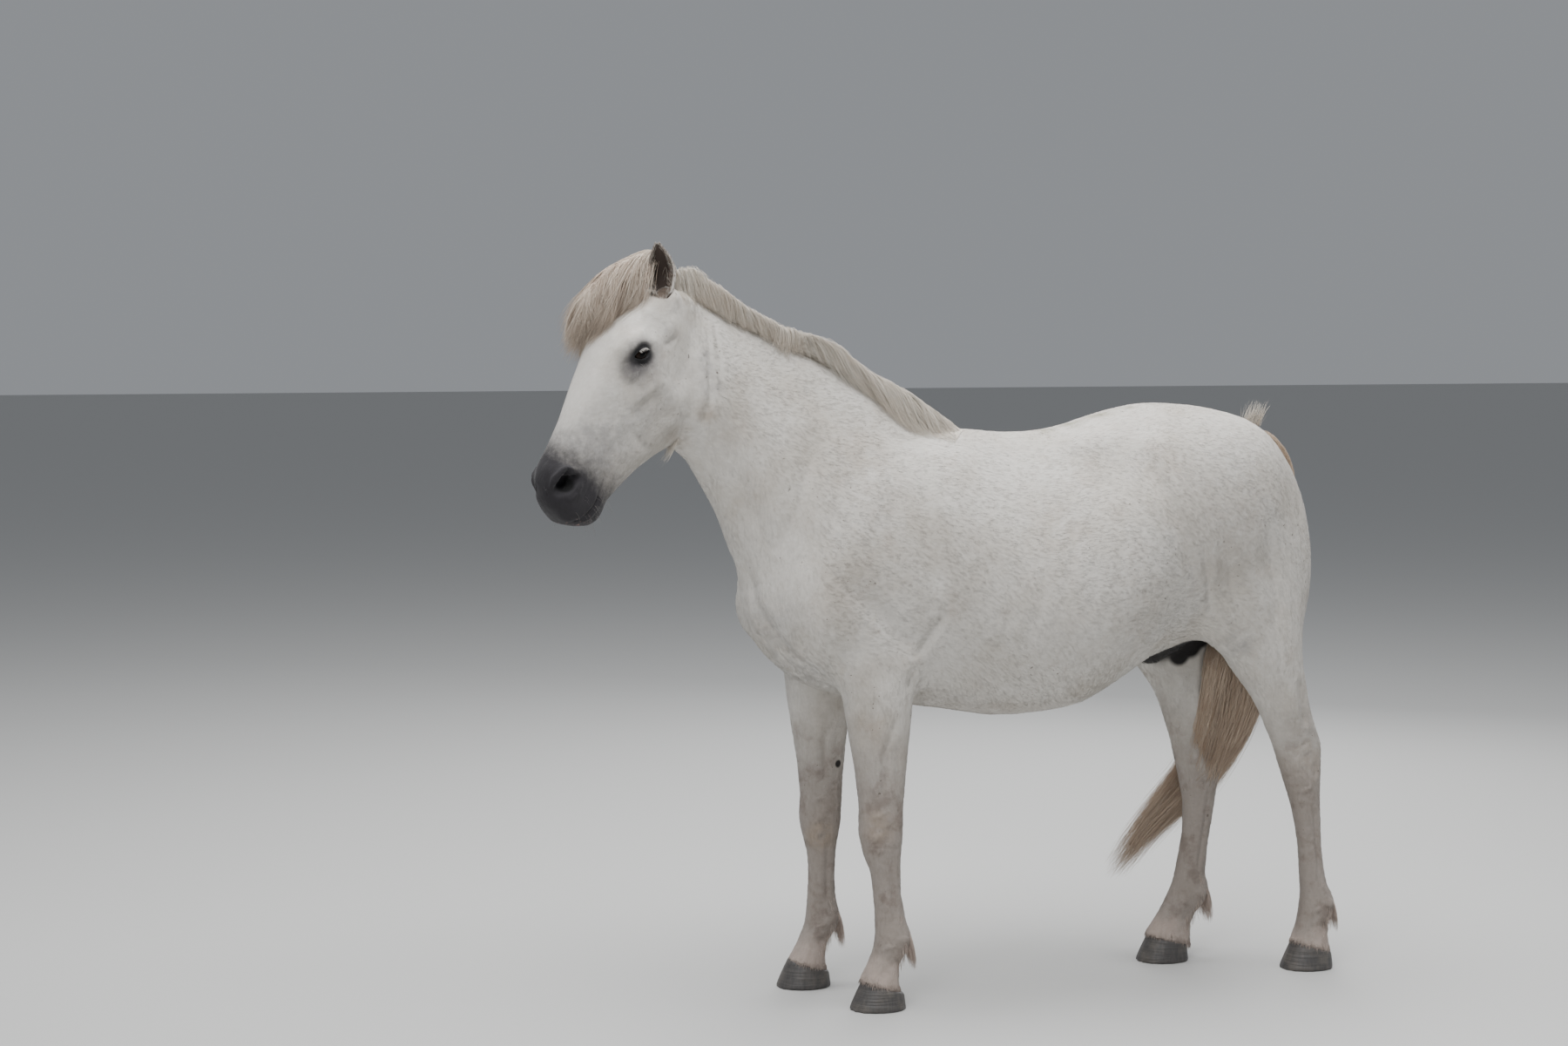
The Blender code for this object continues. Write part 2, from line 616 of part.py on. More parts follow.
def build_hoof(bm, leg):
    """A hoof with a flat sole, its wall sloping in to the coronet and its heel lower than its toe."""
    point, normal = coronet_plane(leg)
    x, y = leg.side * leg.out(0), leg.line_back(0)
    rings = []
    for t in (0, 0.08, 0.5, 1.0):
        toe = y - 0.108 + 0.032 * t
        heel = y + 0.030 - 0.004 * t
        wide = 0.061 - 0.013 * t - (0.002 if t == 0 else 0)
        points = []
        for corner in ring(Vector((x, toe, 0)), Vector((x, heel, 0)), wide, widest=0.55, fullness=0.75, sides=16):
            top = point.z - (corner.y - point.y) * normal.y / normal.z - GAP
            points.append(Vector((corner.x, corner.y, top * t)))
        rings.append(points)
    loft(bm, rings)


# ---------------------------------------------------------------- assembly


def merged_body():
    bm = bmesh.new()
    build_trunk(bm)
    build_neck(bm)
    build_body_muscles(bm)
    for leg in LEGS:
        build_leg(bm, leg)
    build_head(bm)
    body = mesh_object("body", bm)
    merge = body.modifiers.new("merge", "REMESH")
    merge.mode = "VOXEL"
    merge.voxel_size = VOXEL
    applied(body)
    soften(body)
    thin = body.modifiers.new("thin", "DECIMATE")
    thin.ratio = BODY_TRIANGLES / (2 * len(body.data.polygons))
    applied(body)
    return body


def soften(body):
    """Blends the masses into each other, most on the trunk and least on the head and the lower legs."""
    count = len(body.data.vertices)
    place = np.empty(count * 3)
    body.data.vertices.foreach_get("co", place)
    x, y, z = place.reshape(-1, 3).T
    trunk = np.clip((z - 0.70) / 0.14, 0, 1)
    head = np.clip((-0.33 - y) / 0.06, 0, 1) * np.clip((z - 1.10) / 0.1, 0, 1)
    groups = (("all", np.ones(count), 6), ("trunk", trunk * (1 - head), 80))
    for name, weight, times in groups:
        group = body.vertex_groups.new(name=name)
        for step in range(1, 11):
            chosen = np.nonzero(np.round(weight * 10) == step)[0]
            group.add(chosen.tolist(), step / 10, "REPLACE")
        blend = body.modifiers.new(name, "SMOOTH")
        blend.factor, blend.iterations = 0.5, times
        blend.vertex_group = name
    applied(body)
    body.vertex_groups.clear()


def slab(bm, centre, normal, across, down, thickness=CUT, upright=Vector((0, 0, 1))):
    """A thin block with its faces square to the normal."""
    normal = normal.normalized()
    side = upright.cross(normal).normalized()
    turned = Matrix((side, normal.cross(side), normal)).transposed().to_4x4()
    sizes = Matrix.Diagonal((across, down, thickness, 1))
    bmesh.ops.create_cube(bm, size=1, matrix=Matrix.Translation(centre) @ turned @ sizes)


def carve(obj, tool, tangled=False):
    """Takes the tool out of the object, and the tool away."""
    cutting = obj.modifiers.new("carve", "BOOLEAN")
    cutting.operation, cutting.solver, cutting.object = "DIFFERENCE", "EXACT", tool
    cutting.use_self = tangled
    applied(obj)
    bpy.data.objects.remove(tool)


def copied(obj):
    copy = obj.copy()
    copy.data = obj.data.copy()
    bpy.context.scene.collection.objects.link(copy)
    return copy


def swollen(copy, amount):
    """Makes the object larger all round."""
    grow = copy.modifiers.new("grow", "DISPLACE")
    grow.strength, grow.mid_level = amount, 0
    return applied(copy)


def wrapped(obj):
    """The convex hull of the object."""
    bm = bmesh.new()
    for vert in obj.data.vertices:
        bm.verts.new(vert.co)
    made = bmesh.ops.convex_hull(bm, input=bm.verts)
    inner = [item for item in made["geom_interior"] if isinstance(item, bmesh.types.BMVert)]
    bmesh.ops.delete(bm, geom=inner, context="VERTS")
    return mesh_object("hull", bm)


def part_cuts():
    """The thin cuts between the nodes of the body."""
    bm = bmesh.new()
    slab(bm, Vector((0.02, -0.378, 1.55)), Vector((-0.32, 1, 0.0)), 0.5, 0.62)
    slab(bm, Vector((0, 0.010, 1.235)), Vector((0, 0.487, -0.874)), 0.90, 0.70, upright=Vector((1, 0, 0)))
    for leg in LEGS:
        x, y = leg.side * leg.out(0.4), leg.line_back(0.4)
        fore = leg.which == "fore"
        top = Vector((leg.side * 0.175, leg.line_back(0.75) - (0.005 if fore else 0.11), 0.690 if fore else 0.80))
        slab(bm, top, Vector((0, 0, 1)), 0.31, 0.25 if fore else 0.42, upright=Vector((0, 1, 0)))
        slab(bm, Vector((x, y, 0.40 if fore else 0.47)), Vector((0, 0, 1)), 0.16, 0.26, upright=Vector((0, 1, 0)))
    return mesh_object("part_cuts", bm)


def hoof_cuts():
    """Everything below the coronets, where the hooves go."""
    bm = bmesh.new()
    for leg in LEGS:
        point, normal = coronet_plane(leg)
        along = Vector((0, normal.z, -normal.y))
        slab(bm, point - normal * 0.1 + along * 0.05, normal, 0.2, 0.3, 0.2, upright=Vector((0, 1, 0)))
    return mesh_object("hoof_cuts", bm)


ANCHORS = {
    "head": on_head(0, 0.3, 0),
    "neck": Vector((0, -0.2, 1.40)),
    "trunk": Vector((0, 0.5, 1.0)),
}
for each in LEGS:
    ANCHORS[each.name.format("upper_leg")] = Vector((each.side * each.out(0.6), each.line_back(0.6), 0.6))
    ANCHORS[each.name.format("lower_leg")] = Vector((each.side * each.out(0.25), each.line_back(0.25), 0.25))

COLOURS = {
    "coat": (0.62, 0.60, 0.56, 1),
    "leg": (0.45, 0.40, 0.36, 1),
    "hair": (0.66, 0.55, 0.43, 1),
    "hoof": (0.06, 0.055, 0.05, 1),
    "eye": (0.02, 0.012, 0.008, 1),
}
ROUGHNESS = {"coat": 0.85, "leg": 0.85, "hair": 0.7, "hoof": 0.5, "eye": 0.1}


def painted(obj, look):
    paint = bpy.data.materials.new(obj.name)
    paint.use_nodes = True
    shader = paint.node_tree.nodes["Principled BSDF"]
    shader.inputs["Base Color"].default_value = COLOURS[look]
    shader.inputs["Roughness"].default_value = ROUGHNESS[look]
    obj.data.materials.clear()
    obj.data.materials.append(paint)


def loose_parts(obj):
    """The separate shells of the object, each as an object."""
    bm = bmesh.new()
    bm.from_mesh(obj.data)
    unseen = set(bm.verts)
    shells = []
    while unseen:
        edge = [unseen.pop()]
        shell = set(edge)
        while edge:
            for link in edge.pop().link_edges:
                for vert in link.verts:
                    if vert not in shell:
                        shell.add(vert)
                        edge.append(vert)
        unseen -= shell
        shells.append(shell)
    pieces = []
    for shell in sorted(shells, key=len, reverse=True):
        part = bmesh.new()
        fresh = {vert: part.verts.new(vert.co) for vert in sorted(shell, key=lambda v: v.index)}
        for face in bm.faces:
            if face.verts[0] in shell:
                part.faces.new([fresh[vert] for vert in face.verts])
        pieces.append(mesh_object("piece", part))
    bm.free()
    bpy.data.objects.remove(obj)
    return pieces


def largest_part(obj):
    pieces = loose_parts(obj)
    for crumb in pieces[1:]:
        bpy.data.objects.remove(crumb)
    return pieces[0]


def main():
    for obj in list(bpy.data.objects):
        bpy.data.objects.remove(obj)
    body = merged_body()
    bm = bmesh.new()
    build_mouth_groove(bm)
    carve(body, mesh_object("mouth", bm), tangled=True)
    nodes = {}

    bm = bmesh.new()
    build_mane(bm)
    nodes["mane"] = mesh_object("mane", bm)
    bm = bmesh.new()
    build_forelock(bm)
    nodes["forelock"] = mesh_object("forelock", bm)
    bm = bmesh.new()
    build_tail(bm)
    nodes["tail"] = mesh_object("tail", bm)
    bm = bmesh.new()
    build_ear(bm, on_head(0.058, 0.050, 0.040), on_head(0.062, -0.038, 0.128), Vector((0.90, -0.44, 0)), 0.010)
    nodes["ear_left"] = mesh_object("ear_left", bm)
    bm = bmesh.new()
    build_ear(bm, on_head(-0.058, 0.050, 0.040), on_head(-0.140, -0.020, 0.072), Vector((-0.75, -0.65, -0.2)), 0.008)
    nodes["ear_right"] = mesh_object("ear_right", bm)
    for name in ("ear_left", "ear_right"):
        carve(nodes[name], swollen(copied(body), GAP))
    for name in ("mane", "forelock", "tail"):
        carve(nodes[name], swollen(copied(body), 6 * GAP))
        nodes[name] = largest_part(nodes[name])
    for ear in ("ear_left", "ear_right"):
        for name in ("mane", "forelock"):
            carve(nodes[name], swollen(wrapped(nodes[ear]), 2 * GAP))
    nodes["forelock"] = largest_part(nodes["forelock"])
    carve(nodes["mane"], swollen(copied(nodes["forelock"]), GAP))
    nodes["mane"] = largest_part(nodes["mane"])

    bm = bmesh.new()
    for side in (LEFT, RIGHT):
        ball(bm, eye_centre(side), EYE_RADIUS + GAP)
    carve(body, mesh_object("sockets", bm))
    bm = bmesh.new()
    build_nostril_hollows(bm)
    carve(body, mesh_object("nostrils", bm))
    carve(body, hoof_cuts())
    carve(body, part_cuts())
    for side in (LEFT, RIGHT):
        bm = bmesh.new()
        ball(bm, eye_centre(side), EYE_RADIUS)
        nodes[f"eye_{SIDE_NAMES[side]}"] = mesh_object("eye", bm)
    for leg in LEGS:
        bm = bmesh.new()
        build_hoof(bm, leg)
        nodes[leg.name.format("hoof")] = mesh_object("hoof", bm)

    for piece in loose_parts(body):
        middle = np.mean([vert.co[:] for vert in piece.data.vertices], axis=0)
        nearest = min(
            (name for name in ANCHORS if name not in nodes),
            key=lambda name: (Vector(middle) - ANCHORS[name]).length,
            default=None,
        )
        nodes[nearest] = piece

    home = bpy.data.collections.new("camargue_horse")
    bpy.context.scene.collection.children.link(home)
    corners = np.array([obj.matrix_world @ vert.co for obj in nodes.values() for vert in obj.data.vertices])
    low, high = corners.min(axis=0), corners.max(axis=0)
    shift = Vector(((low[0] + high[0]) / 2, (low[1] + high[1]) / 2, low[2]))
    for name, obj in nodes.items():
        obj.name = name
        obj.data.name = name
        obj.data.transform(Matrix.Translation(-shift))
        look = "coat"
        if "lower_leg" in name:
            look = "leg"
        if name in ("mane", "forelock", "tail"):
            look = "hair"
        if "hoof" in name or "eye" in name:
            look = name.split("_")[0] if "eye" in name else "hoof"
        painted(obj, look)
        for holder in list(obj.users_collection):
            holder.objects.unlink(obj)
        home.objects.link(obj)


main()
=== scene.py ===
"""Looks of a standing grey-white horse: skin, eyes, hooves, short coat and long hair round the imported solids."""

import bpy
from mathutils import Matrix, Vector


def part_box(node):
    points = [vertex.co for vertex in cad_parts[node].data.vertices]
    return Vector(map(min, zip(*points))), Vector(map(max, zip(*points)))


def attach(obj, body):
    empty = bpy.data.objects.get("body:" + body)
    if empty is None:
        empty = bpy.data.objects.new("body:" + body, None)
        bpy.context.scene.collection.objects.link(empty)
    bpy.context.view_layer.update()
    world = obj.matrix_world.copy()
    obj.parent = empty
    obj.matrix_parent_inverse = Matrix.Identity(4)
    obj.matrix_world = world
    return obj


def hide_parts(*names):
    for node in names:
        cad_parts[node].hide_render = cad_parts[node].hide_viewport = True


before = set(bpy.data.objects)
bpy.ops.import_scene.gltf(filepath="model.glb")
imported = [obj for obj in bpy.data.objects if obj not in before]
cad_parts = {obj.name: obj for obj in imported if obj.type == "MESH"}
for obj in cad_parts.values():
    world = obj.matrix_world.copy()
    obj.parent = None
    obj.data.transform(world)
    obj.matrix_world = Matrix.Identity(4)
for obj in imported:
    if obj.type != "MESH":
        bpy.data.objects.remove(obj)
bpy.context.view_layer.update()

import contextlib
import math

import bmesh
import bpy
import numpy as np
from mathutils import Matrix, Vector
from mathutils.bvhtree import BVHTree

rng = np.random.default_rng(7)
FLESH = [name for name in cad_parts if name.startswith(("head", "neck", "trunk")) or "_leg_" in name]
LEFT, RIGHT = 1, -1
SIDES = {"left": LEFT, "right": RIGHT}

# ---------------------------------------------------------------- places on the horse
# Directions of the head, as in the solids: level, then along its own axes.
HEAD_YAW, HEAD_SLOPE, HEAD_ROLL = math.radians(24), math.radians(53), math.radians(2)
EYE_ON_HEAD = (0.0765, 0.209, 0.034)
HOOF_FRONT, HOOF_BACK = 0.072, 0.04  # heights of the coronet at the toe and at the heel
POLL_FROM_TRUNK = Vector((0.032, -0.439, 1.723))
FORWARD = Vector((math.sin(HEAD_YAW), -math.cos(HEAD_YAW), 0))
DOWN_FACE = FORWARD * math.cos(HEAD_SLOPE) - Vector((0, 0, 1)) * math.sin(HEAD_SLOPE)
LEVEL_LEFT = Vector((math.cos(HEAD_YAW), math.sin(HEAD_YAW), 0))
LEVEL_OUT = FORWARD * math.sin(HEAD_SLOPE) + Vector((0, 0, 1)) * math.cos(HEAD_SLOPE)
LEFTWARD = LEVEL_LEFT * math.cos(HEAD_ROLL) + LEVEL_OUT * math.sin(HEAD_ROLL)
OUTWARD = LEVEL_OUT * math.cos(HEAD_ROLL) - LEVEL_LEFT * math.sin(HEAD_ROLL)


def middle(node):
    low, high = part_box(node)
    return (low + high) / 2


LID_HALF, LID_RIM = 0.0225, 0.0016  # half the opening's length and the width of its rim
EYES = {side: middle(f"eye_{side}") for side in SIDES}
EYE_RADIUS = (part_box("eye_left")[1].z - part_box("eye_left")[0].z) / 2
POLL = (EYES["left"] + EYES["right"]) / 2 - DOWN_FACE * EYE_ON_HEAD[1] - OUTWARD * EYE_ON_HEAD[2]
MOVED = POLL - POLL_FROM_TRUNK  # from the frame that the horse was laid out in to the row frame


def place(x, y, z):
    """A point given in the frame that the horse was laid out in."""
    return Vector((x, y, z)) + MOVED


def on_head(left, along, out):
    return POLL + LEFTWARD * left + DOWN_FACE * along + OUTWARD * out


def all_on_head(left, along, out):
    """Places on the head for arrays of one shape."""
    axes = (LEFTWARD, DOWN_FACE, OUTWARD)
    return np.array(POLL) + sum(value[..., None] * np.array(axis) for value, axis in zip((left, along, out), axes))


def down_face(points):
    """How far each point is from the poll towards the nose."""
    return (points - np.array(POLL)) @ np.array(DOWN_FACE)


def way_on_head(left, along, out):
    return (LEFTWARD * left + DOWN_FACE * along + OUTWARD * out).normalized()


def smooth(at, value):
    """A smooth function through values at places, for single places or arrays of them."""
    gap = np.diff(at)
    slope = np.diff(value) / gap
    tangent = np.empty_like(value)
    tangent[0], tangent[-1] = slope[0], slope[-1]
    for i in range(1, len(at) - 1):
        before, after = slope[i - 1], slope[i]
        tangent[i] = 0 if before * after <= 0 else 2 * before * after / (before + after)

    def at_place(place):
        place = np.asarray(place, float)
        i = np.clip(np.searchsorted(at, place) - 1, 0, len(gap) - 1)
        t = np.clip((place - at[i]) / gap[i], 0, 1)
        return (
            value[i] * (1 + 2 * t) * (1 - t) ** 2
            + tangent[i] * gap[i] * t * (1 - t) ** 2
            + value[i + 1] * t * t * (3 - 2 * t)
            + tangent[i + 1] * gap[i] * t * t * (t - 1)
        )

    return at_place


def curve(text):
    """A smooth function through places and values, written in pairs."""
    return smooth(*np.array([pair.split() for pair in text.split(",")], float).T)


def smooth_table(text):
    """A function from 0 to 1 that reads each column of a table of evenly spaced stops, in thousandths."""
    rows = np.array([line.split() for line in text.splitlines() if line.strip()], float) / 1000
    columns = [smooth(np.linspace(0, 1, len(rows)), column) for column in rows.T]
    return lambda t: [column(t) for column in columns]


# ---------------------------------------------------------------- meshes as arrays


def read(items, name, width=3, kind=float):
    """A value of each of a mesh's items, as rows of an array."""
    found = np.empty(len(items) * width, kind)
    items.foreach_get(name, found)
    return found.reshape(-1, width)


def points_of(mesh):
    return read(mesh.vertices, "co")


def normals_of(mesh):
    return read(mesh.vertex_normals, "vector")


def edges_of(mesh):
    return read(mesh.edges, "vertices", 2, np.int32)


def move_to(mesh, points):
    mesh.vertices.foreach_set("co", points.ravel())
    mesh.update()


def new_object(name, data):
    made = bpy.data.objects.new(name, data)
    bpy.context.scene.collection.objects.link(made)
    return made


def mesh_from(name, points, faces):
    """A mesh of points and faces, given as arrays of vertex numbers with one row to a face."""
    mesh = bpy.data.meshes.new(name)
    mesh.vertices.add(len(points))
    mesh.vertices.foreach_set("co", np.ascontiguousarray(points, float).ravel())
    loops = np.concatenate([np.asarray(group).ravel() for group in faces])
    sizes = np.concatenate([np.full(len(group), group.shape[1]) for group in faces])
    mesh.loops.add(len(loops))
    mesh.loops.foreach_set("vertex_index", loops.astype(np.int32))
    mesh.polygons.add(len(sizes))
    mesh.polygons.foreach_set("loop_start", (np.cumsum(sizes) - sizes).astype(np.int32))
    mesh.update(calc_edges=True)
    mesh.validate()
    return mesh


def quads_between(here, there, axis):
    """Faces between two rows of rings of vertex numbers."""
    return np.stack([here, np.roll(here, -1, axis), np.roll(there, -1, axis), there], axis=-1).reshape(-1, 4)


def ringed_body(name, rings):
    """A closed body through rings of points, which are rings x points x 3."""
    count, around, _ = rings.shape
    number = np.arange(count * around).reshape(count, around)
    walls = quads_between(number[:-1], number[1:], 1)
    mesh = mesh_from(name, rings.reshape(-1, 3), [walls, number[:1, ::-1], number[-1:]])
    mesh.shade_smooth()
    return new_object(name, mesh)


@contextlib.contextmanager
def editing(mesh):
    """The mesh as a bmesh, written back at the end."""
    bm = bmesh.new()
    bm.from_mesh(mesh)
    yield bm
    bm.to_mesh(mesh)
    bm.free()


def applied(obj):
    graph = bpy.context.evaluated_depsgraph_get()
    data = bpy.data.meshes.new_from_object(obj.evaluated_get(graph))
    old = obj.data
    obj.modifiers.clear()
    obj.data = data
    bpy.data.meshes.remove(old)
    return obj


def modified(obj, kind, **settings):
    change = obj.modifiers.new(kind, kind)
    for name, value in settings.items():
        setattr(change, name, value)
    return applied(obj)


def solids(name, nodes, grow=0.0):
    """The named nodes' solids in one object, each moved out all round."""
    bm = bmesh.new()
    for node in nodes:
        part = bmesh.new()
        part.from_mesh(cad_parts[node].data)
        bmesh.ops.remove_doubles(part, verts=part.verts, dist=1e-6)
        part.normal_update()
        for vert in part.verts:
            vert.co += vert.normal * grow
        flat = bpy.data.meshes.new("part")
        part.to_mesh(flat)
        part.free()
        bm.from_mesh(flat)
        bpy.data.meshes.remove(flat)
    mesh = bpy.data.meshes.new(name)
    bm.to_mesh(mesh)
    bm.free()
    return new_object(name, mesh)


def largest_piece(obj):
    """Keeps only the largest connected part of the mesh."""
    edges = edges_of(obj.data)
    label = np.arange(len(obj.data.vertices))
    while True:
        low = np.minimum(label[edges[:, 0]], label[edges[:, 1]])
        before = label.copy()
        np.minimum.at(label, edges[:, 0], low)
        np.minimum.at(label, edges[:, 1], low)
        label = label[label]
        if np.array_equal(before, label):
            break
    names, counts = np.unique(label, return_counts=True)
    if len(names) > 1:
        with editing(obj.data) as bm:
            bm.verts.ensure_lookup_table()
            lost = np.nonzero(label != names[counts.argmax()])[0]
            bmesh.ops.delete(bm, geom=[bm.verts[i] for i in lost], context="VERTS")


def relax(points, edges, strength, rounds):
    """Moves each point towards its neighbours' middle, by its own strength."""
    count = len(points)
    degree = np.bincount(edges.ravel(), minlength=count)[:, None]
    strength = np.broadcast_to(strength, count)[:, None]
    for _ in range(rounds):
        total = np.empty_like(points)
        for axis in range(3):
            there = np.bincount(edges[:, 0], weights=points[edges[:, 1], axis], minlength=count)
            back = np.bincount(edges[:, 1], weights=points[edges[:, 0], axis], minlength=count)
            total[:, axis] = there + back
        points = points + (total / degree - points) * strength
    return points


def unit(vectors):
    return vectors / (np.linalg.norm(vectors, axis=-1, keepdims=True) + 1e-12)


def step_between(value, low, high):
    t = np.clip((value - low) / (high - low), 0, 1)
    return t * t * (3 - 2 * t)


# ---------------------------------------------------------------- skin

SKIN_GROWTH, SKIN_VOXEL, SKIN_TRIANGLES = 0.0012, 0.005, 150000


def refine(obj, centre, radius):
    """Halves the edges of the mesh round a place."""
    with editing(obj.data) as bm:
        chosen = [edge for edge in bm.edges if (edge.verts[0].co - centre).length < radius]
        bmesh.ops.subdivide_edges(bm, edges=chosen, cuts=1, use_grid_fill=True)


def far(points, spot):
    """Distances of an array of points from a place."""
    return np.linalg.norm(points - np.array(spot), axis=1)


class Clay:
    """The skin's points, pushed about along their normals."""

    def __init__(self, obj):
        self.obj = obj
        self.points = points_of(obj.data)
        self.edges = edges_of(obj.data)
        self.normals = normals_of(obj.data)

    def renew(self):
        move_to(self.obj.data, self.points)
        self.normals = normals_of(self.obj.data)

    def away(self, path):
        """Distance to a path of points, and how far along it the nearest place is, from 0 to 1."""
        path = [np.array(p, float) for p in path]
        best = np.full(len(self.points), np.inf)
        along = np.zeros(len(self.points))
        for i, (start, end) in enumerate(zip(path, path[1:])):
            run = end - start
            t = np.clip((self.points - start) @ run / (run @ run), 0, 1)
            gap = np.linalg.norm(self.points - start - t[:, None] * run, axis=1)
            closer = gap < best
            best[closer] = gap[closer]
            along[closer] = ((i + t) / (len(path) - 1))[closer]
        return best, along

    def ridge(self, path, width, height, fade):
        """Raises the skin along a path, or sinks it where the height is negative."""
        if len(path) > 1:
            gap, along = self.away(path)
            ends = np.clip(np.minimum(along, 1 - along) / fade, 0, 1) ** 0.7
        else:
            gap, ends = far(self.points, path[0]), 1.0
        amount = height * np.exp(-((gap / width) ** 2)) * ends
        self.points += self.normals * amount[:, None]

    def soften(self, strength, rounds):
        self.points = relax(self.points, self.edges, strength, rounds)


def build_skin():
    """One skin over all flesh, finer round the eyes, nostrils and lips, with its forms pushed out of it."""
    fillers = [f"eye_{side}" for side in SIDES]
    skin = solids("skin", FLESH + fillers, grow=SKIN_GROWTH)
    skin = modified(skin, "REMESH", mode="VOXEL", voxel_size=SKIN_VOXEL)
    largest_piece(skin)
    soften_facets(Clay(skin))
    for side in SIDES:
        nostril = on_head(SIDES[side] * 0.046, 0.56, 0.014)
        for spot, radius in ((EYES[side], 0.06), (EYES[side], 0.045), (nostril, 0.05)):
            refine(skin, spot, radius)
    refine(skin, on_head(0, 0.57, -0.085), 0.085)
    clay = Clay(skin)
    near = far(clay.points, on_head(0, 0.56, -0.04)) < 0.12
    for side in SIDES:
        near |= far(clay.points, EYES[side]) < 0.058
    clay.soften(near * 0.5, 5)
    clay.renew()
    shape_body(clay)
    shape_legs(clay)
    shape_head(clay)
    clay.renew()
    for side in SIDES:
        shape_eye(clay, side)
    clay.renew()
    triangles = sum(len(face.vertices) - 2 for face in skin.data.polygons)
    if triangles > SKIN_TRIANGLES:
        skin = modified(skin, "DECIMATE", ratio=SKIN_TRIANGLES / triangles)
    skin.data.shade_smooth()
    return skin


def soften_facets(clay):
    """Smooths the solids' facets away, most on the body, and takes back what the skin was grown by."""
    _, y, z = (clay.points - np.array(MOVED)).T
    body = step_between(z, 0.7, 0.9) * step_between(y, -0.42, -0.3)
    neck_root = step_between(z, 1.1, 1.25) * step_between(-y, 0.36, 0.44)
    legs = 0.35 * (1 - body) * (1 - neck_root) * step_between(z, 0.075, 0.12)
    for strength, rounds in ((0.5 * body, 110), (legs, 16), (0.5 * neck_root, 8)):
        clay.soften(strength, rounds)
    clay.renew()
    depth = SKIN_GROWTH + SKIN_GROWTH * body
    clay.points = clay.points - clay.normals * (depth * step_between(z, 0.05, 0.1))[:, None]
    clay.renew()


def thousandths(text):
    return tuple(float(word) / 1000 for word in text.split())


def forms(text):
    """Rows of a path, its half width and how far it stands out or sinks in, in millimetres."""
    rows = [line.split(":") for line in text.splitlines() if line.strip() and "#" not in line]
    return [(tuple(thousandths(point) for point in path.split(",")), *thousandths(sizes)) for path, sizes in rows]


# Forms under the skin of the left side, in the frame that the horse was laid out in.
BODY_FORMS = forms(
    """
    # Shoulder blade and its edges, upper arm, elbow.
    80 110 1370, 140 20 1210, 180 -50 1060: 30 6
    85 -90 1400, 137 -147 1220, 125 -200 1100: 20 -7
    110 180 1340, 165 160 1220, 210 160 1090, 215 170 1000: 18 -6
    186 -60 1048, 190 51 940, 183 126 850: 16 -8
    170 118 835: 26 8
    183 128 850, 200 160 906, 223 195 969: 10 -8
    172 112 770, 180 124 844: 9 -6
    # Breast, its middle groove and the fold in front of the foreleg.
    20 -272 1100, 85 -238 970, 110 -156 844, 125 -34 752: 14 -10
    154 -105 855, 140 -60 790, 125 -34 745: 10 -6
    50 -235 1020, 75 -205 900: 35 7
    # Groove of the vein in the neck, the windpipe, folds behind the cheek and ear.
    107 -347 1446, 95 -290 1270, 110 -213 1100: 16 -7
    60 -365 1360, 50 -318 1220, 50 -262 1080: 18 4
    88 -418 1700, 98 -410 1658, 98 -392 1608, 104 -381 1541: 6 -3.5
    70 -358 1640, 94 -356 1567, 105 -351 1480: 5 -2
    55 -334 1652, 82 -334 1580, 100 -330 1500: 5 -1.8
    82 -345 1610, 98 -343 1540: 5 0.8
    45 -300 1640, 75 -180 1540, 100 -60 1440, 110 50 1380: 20 -5
    # Belly vein, ribs, flank and its folds, hip bone.
    197 275 812, 197 348 770, 174 432 729: 5 5
    180 700 1330, 245 735 1260, 278 762 1180, 272 800 1080, 235 855 980: 13 -8
    272 830 1120, 250 862 1040, 200 895 935: 9 -6
    190 650 1270: 50 -8
    185 750 1345: 30 7
    # Stifle, thigh muscles and their grooves, croup.
    215 930 930: 34 7
    262 880 1160, 225 945 1000, 200 1005 880: 16 -6
    195 990 1290, 220 1050 1120, 200 1085 950, 160 1075 830: 14 -7
    115 1120 1330, 165 1150 1170, 170 1155 1020, 145 1135 880: 11 -6
    """
)
RIBS = [
    (((0.2, y + 0.03, 1.2), (0.27, y + 0.01, 1.08), (0.28, y - 0.02, 0.96), (0.24, y - 0.06, 0.85)), 0.014, 0.0022)
    for y in (0.27, 0.33, 0.39, 0.45, 0.51, 0.57, 0.63)
]
MIDDLE_FORMS = forms(
    """
    0 -235 1000, 0 -190 880, 0 -130 790: 16 -14
    0 720 1450, 0 850 1460, 0 1020 1430: 14 -6
    0 400 1400, 0 600 1410, 0 720 1450: 20 -4
    # Sheath.
    0 800 800, 0 880 815, 0 930 835: 26 18
    """
)
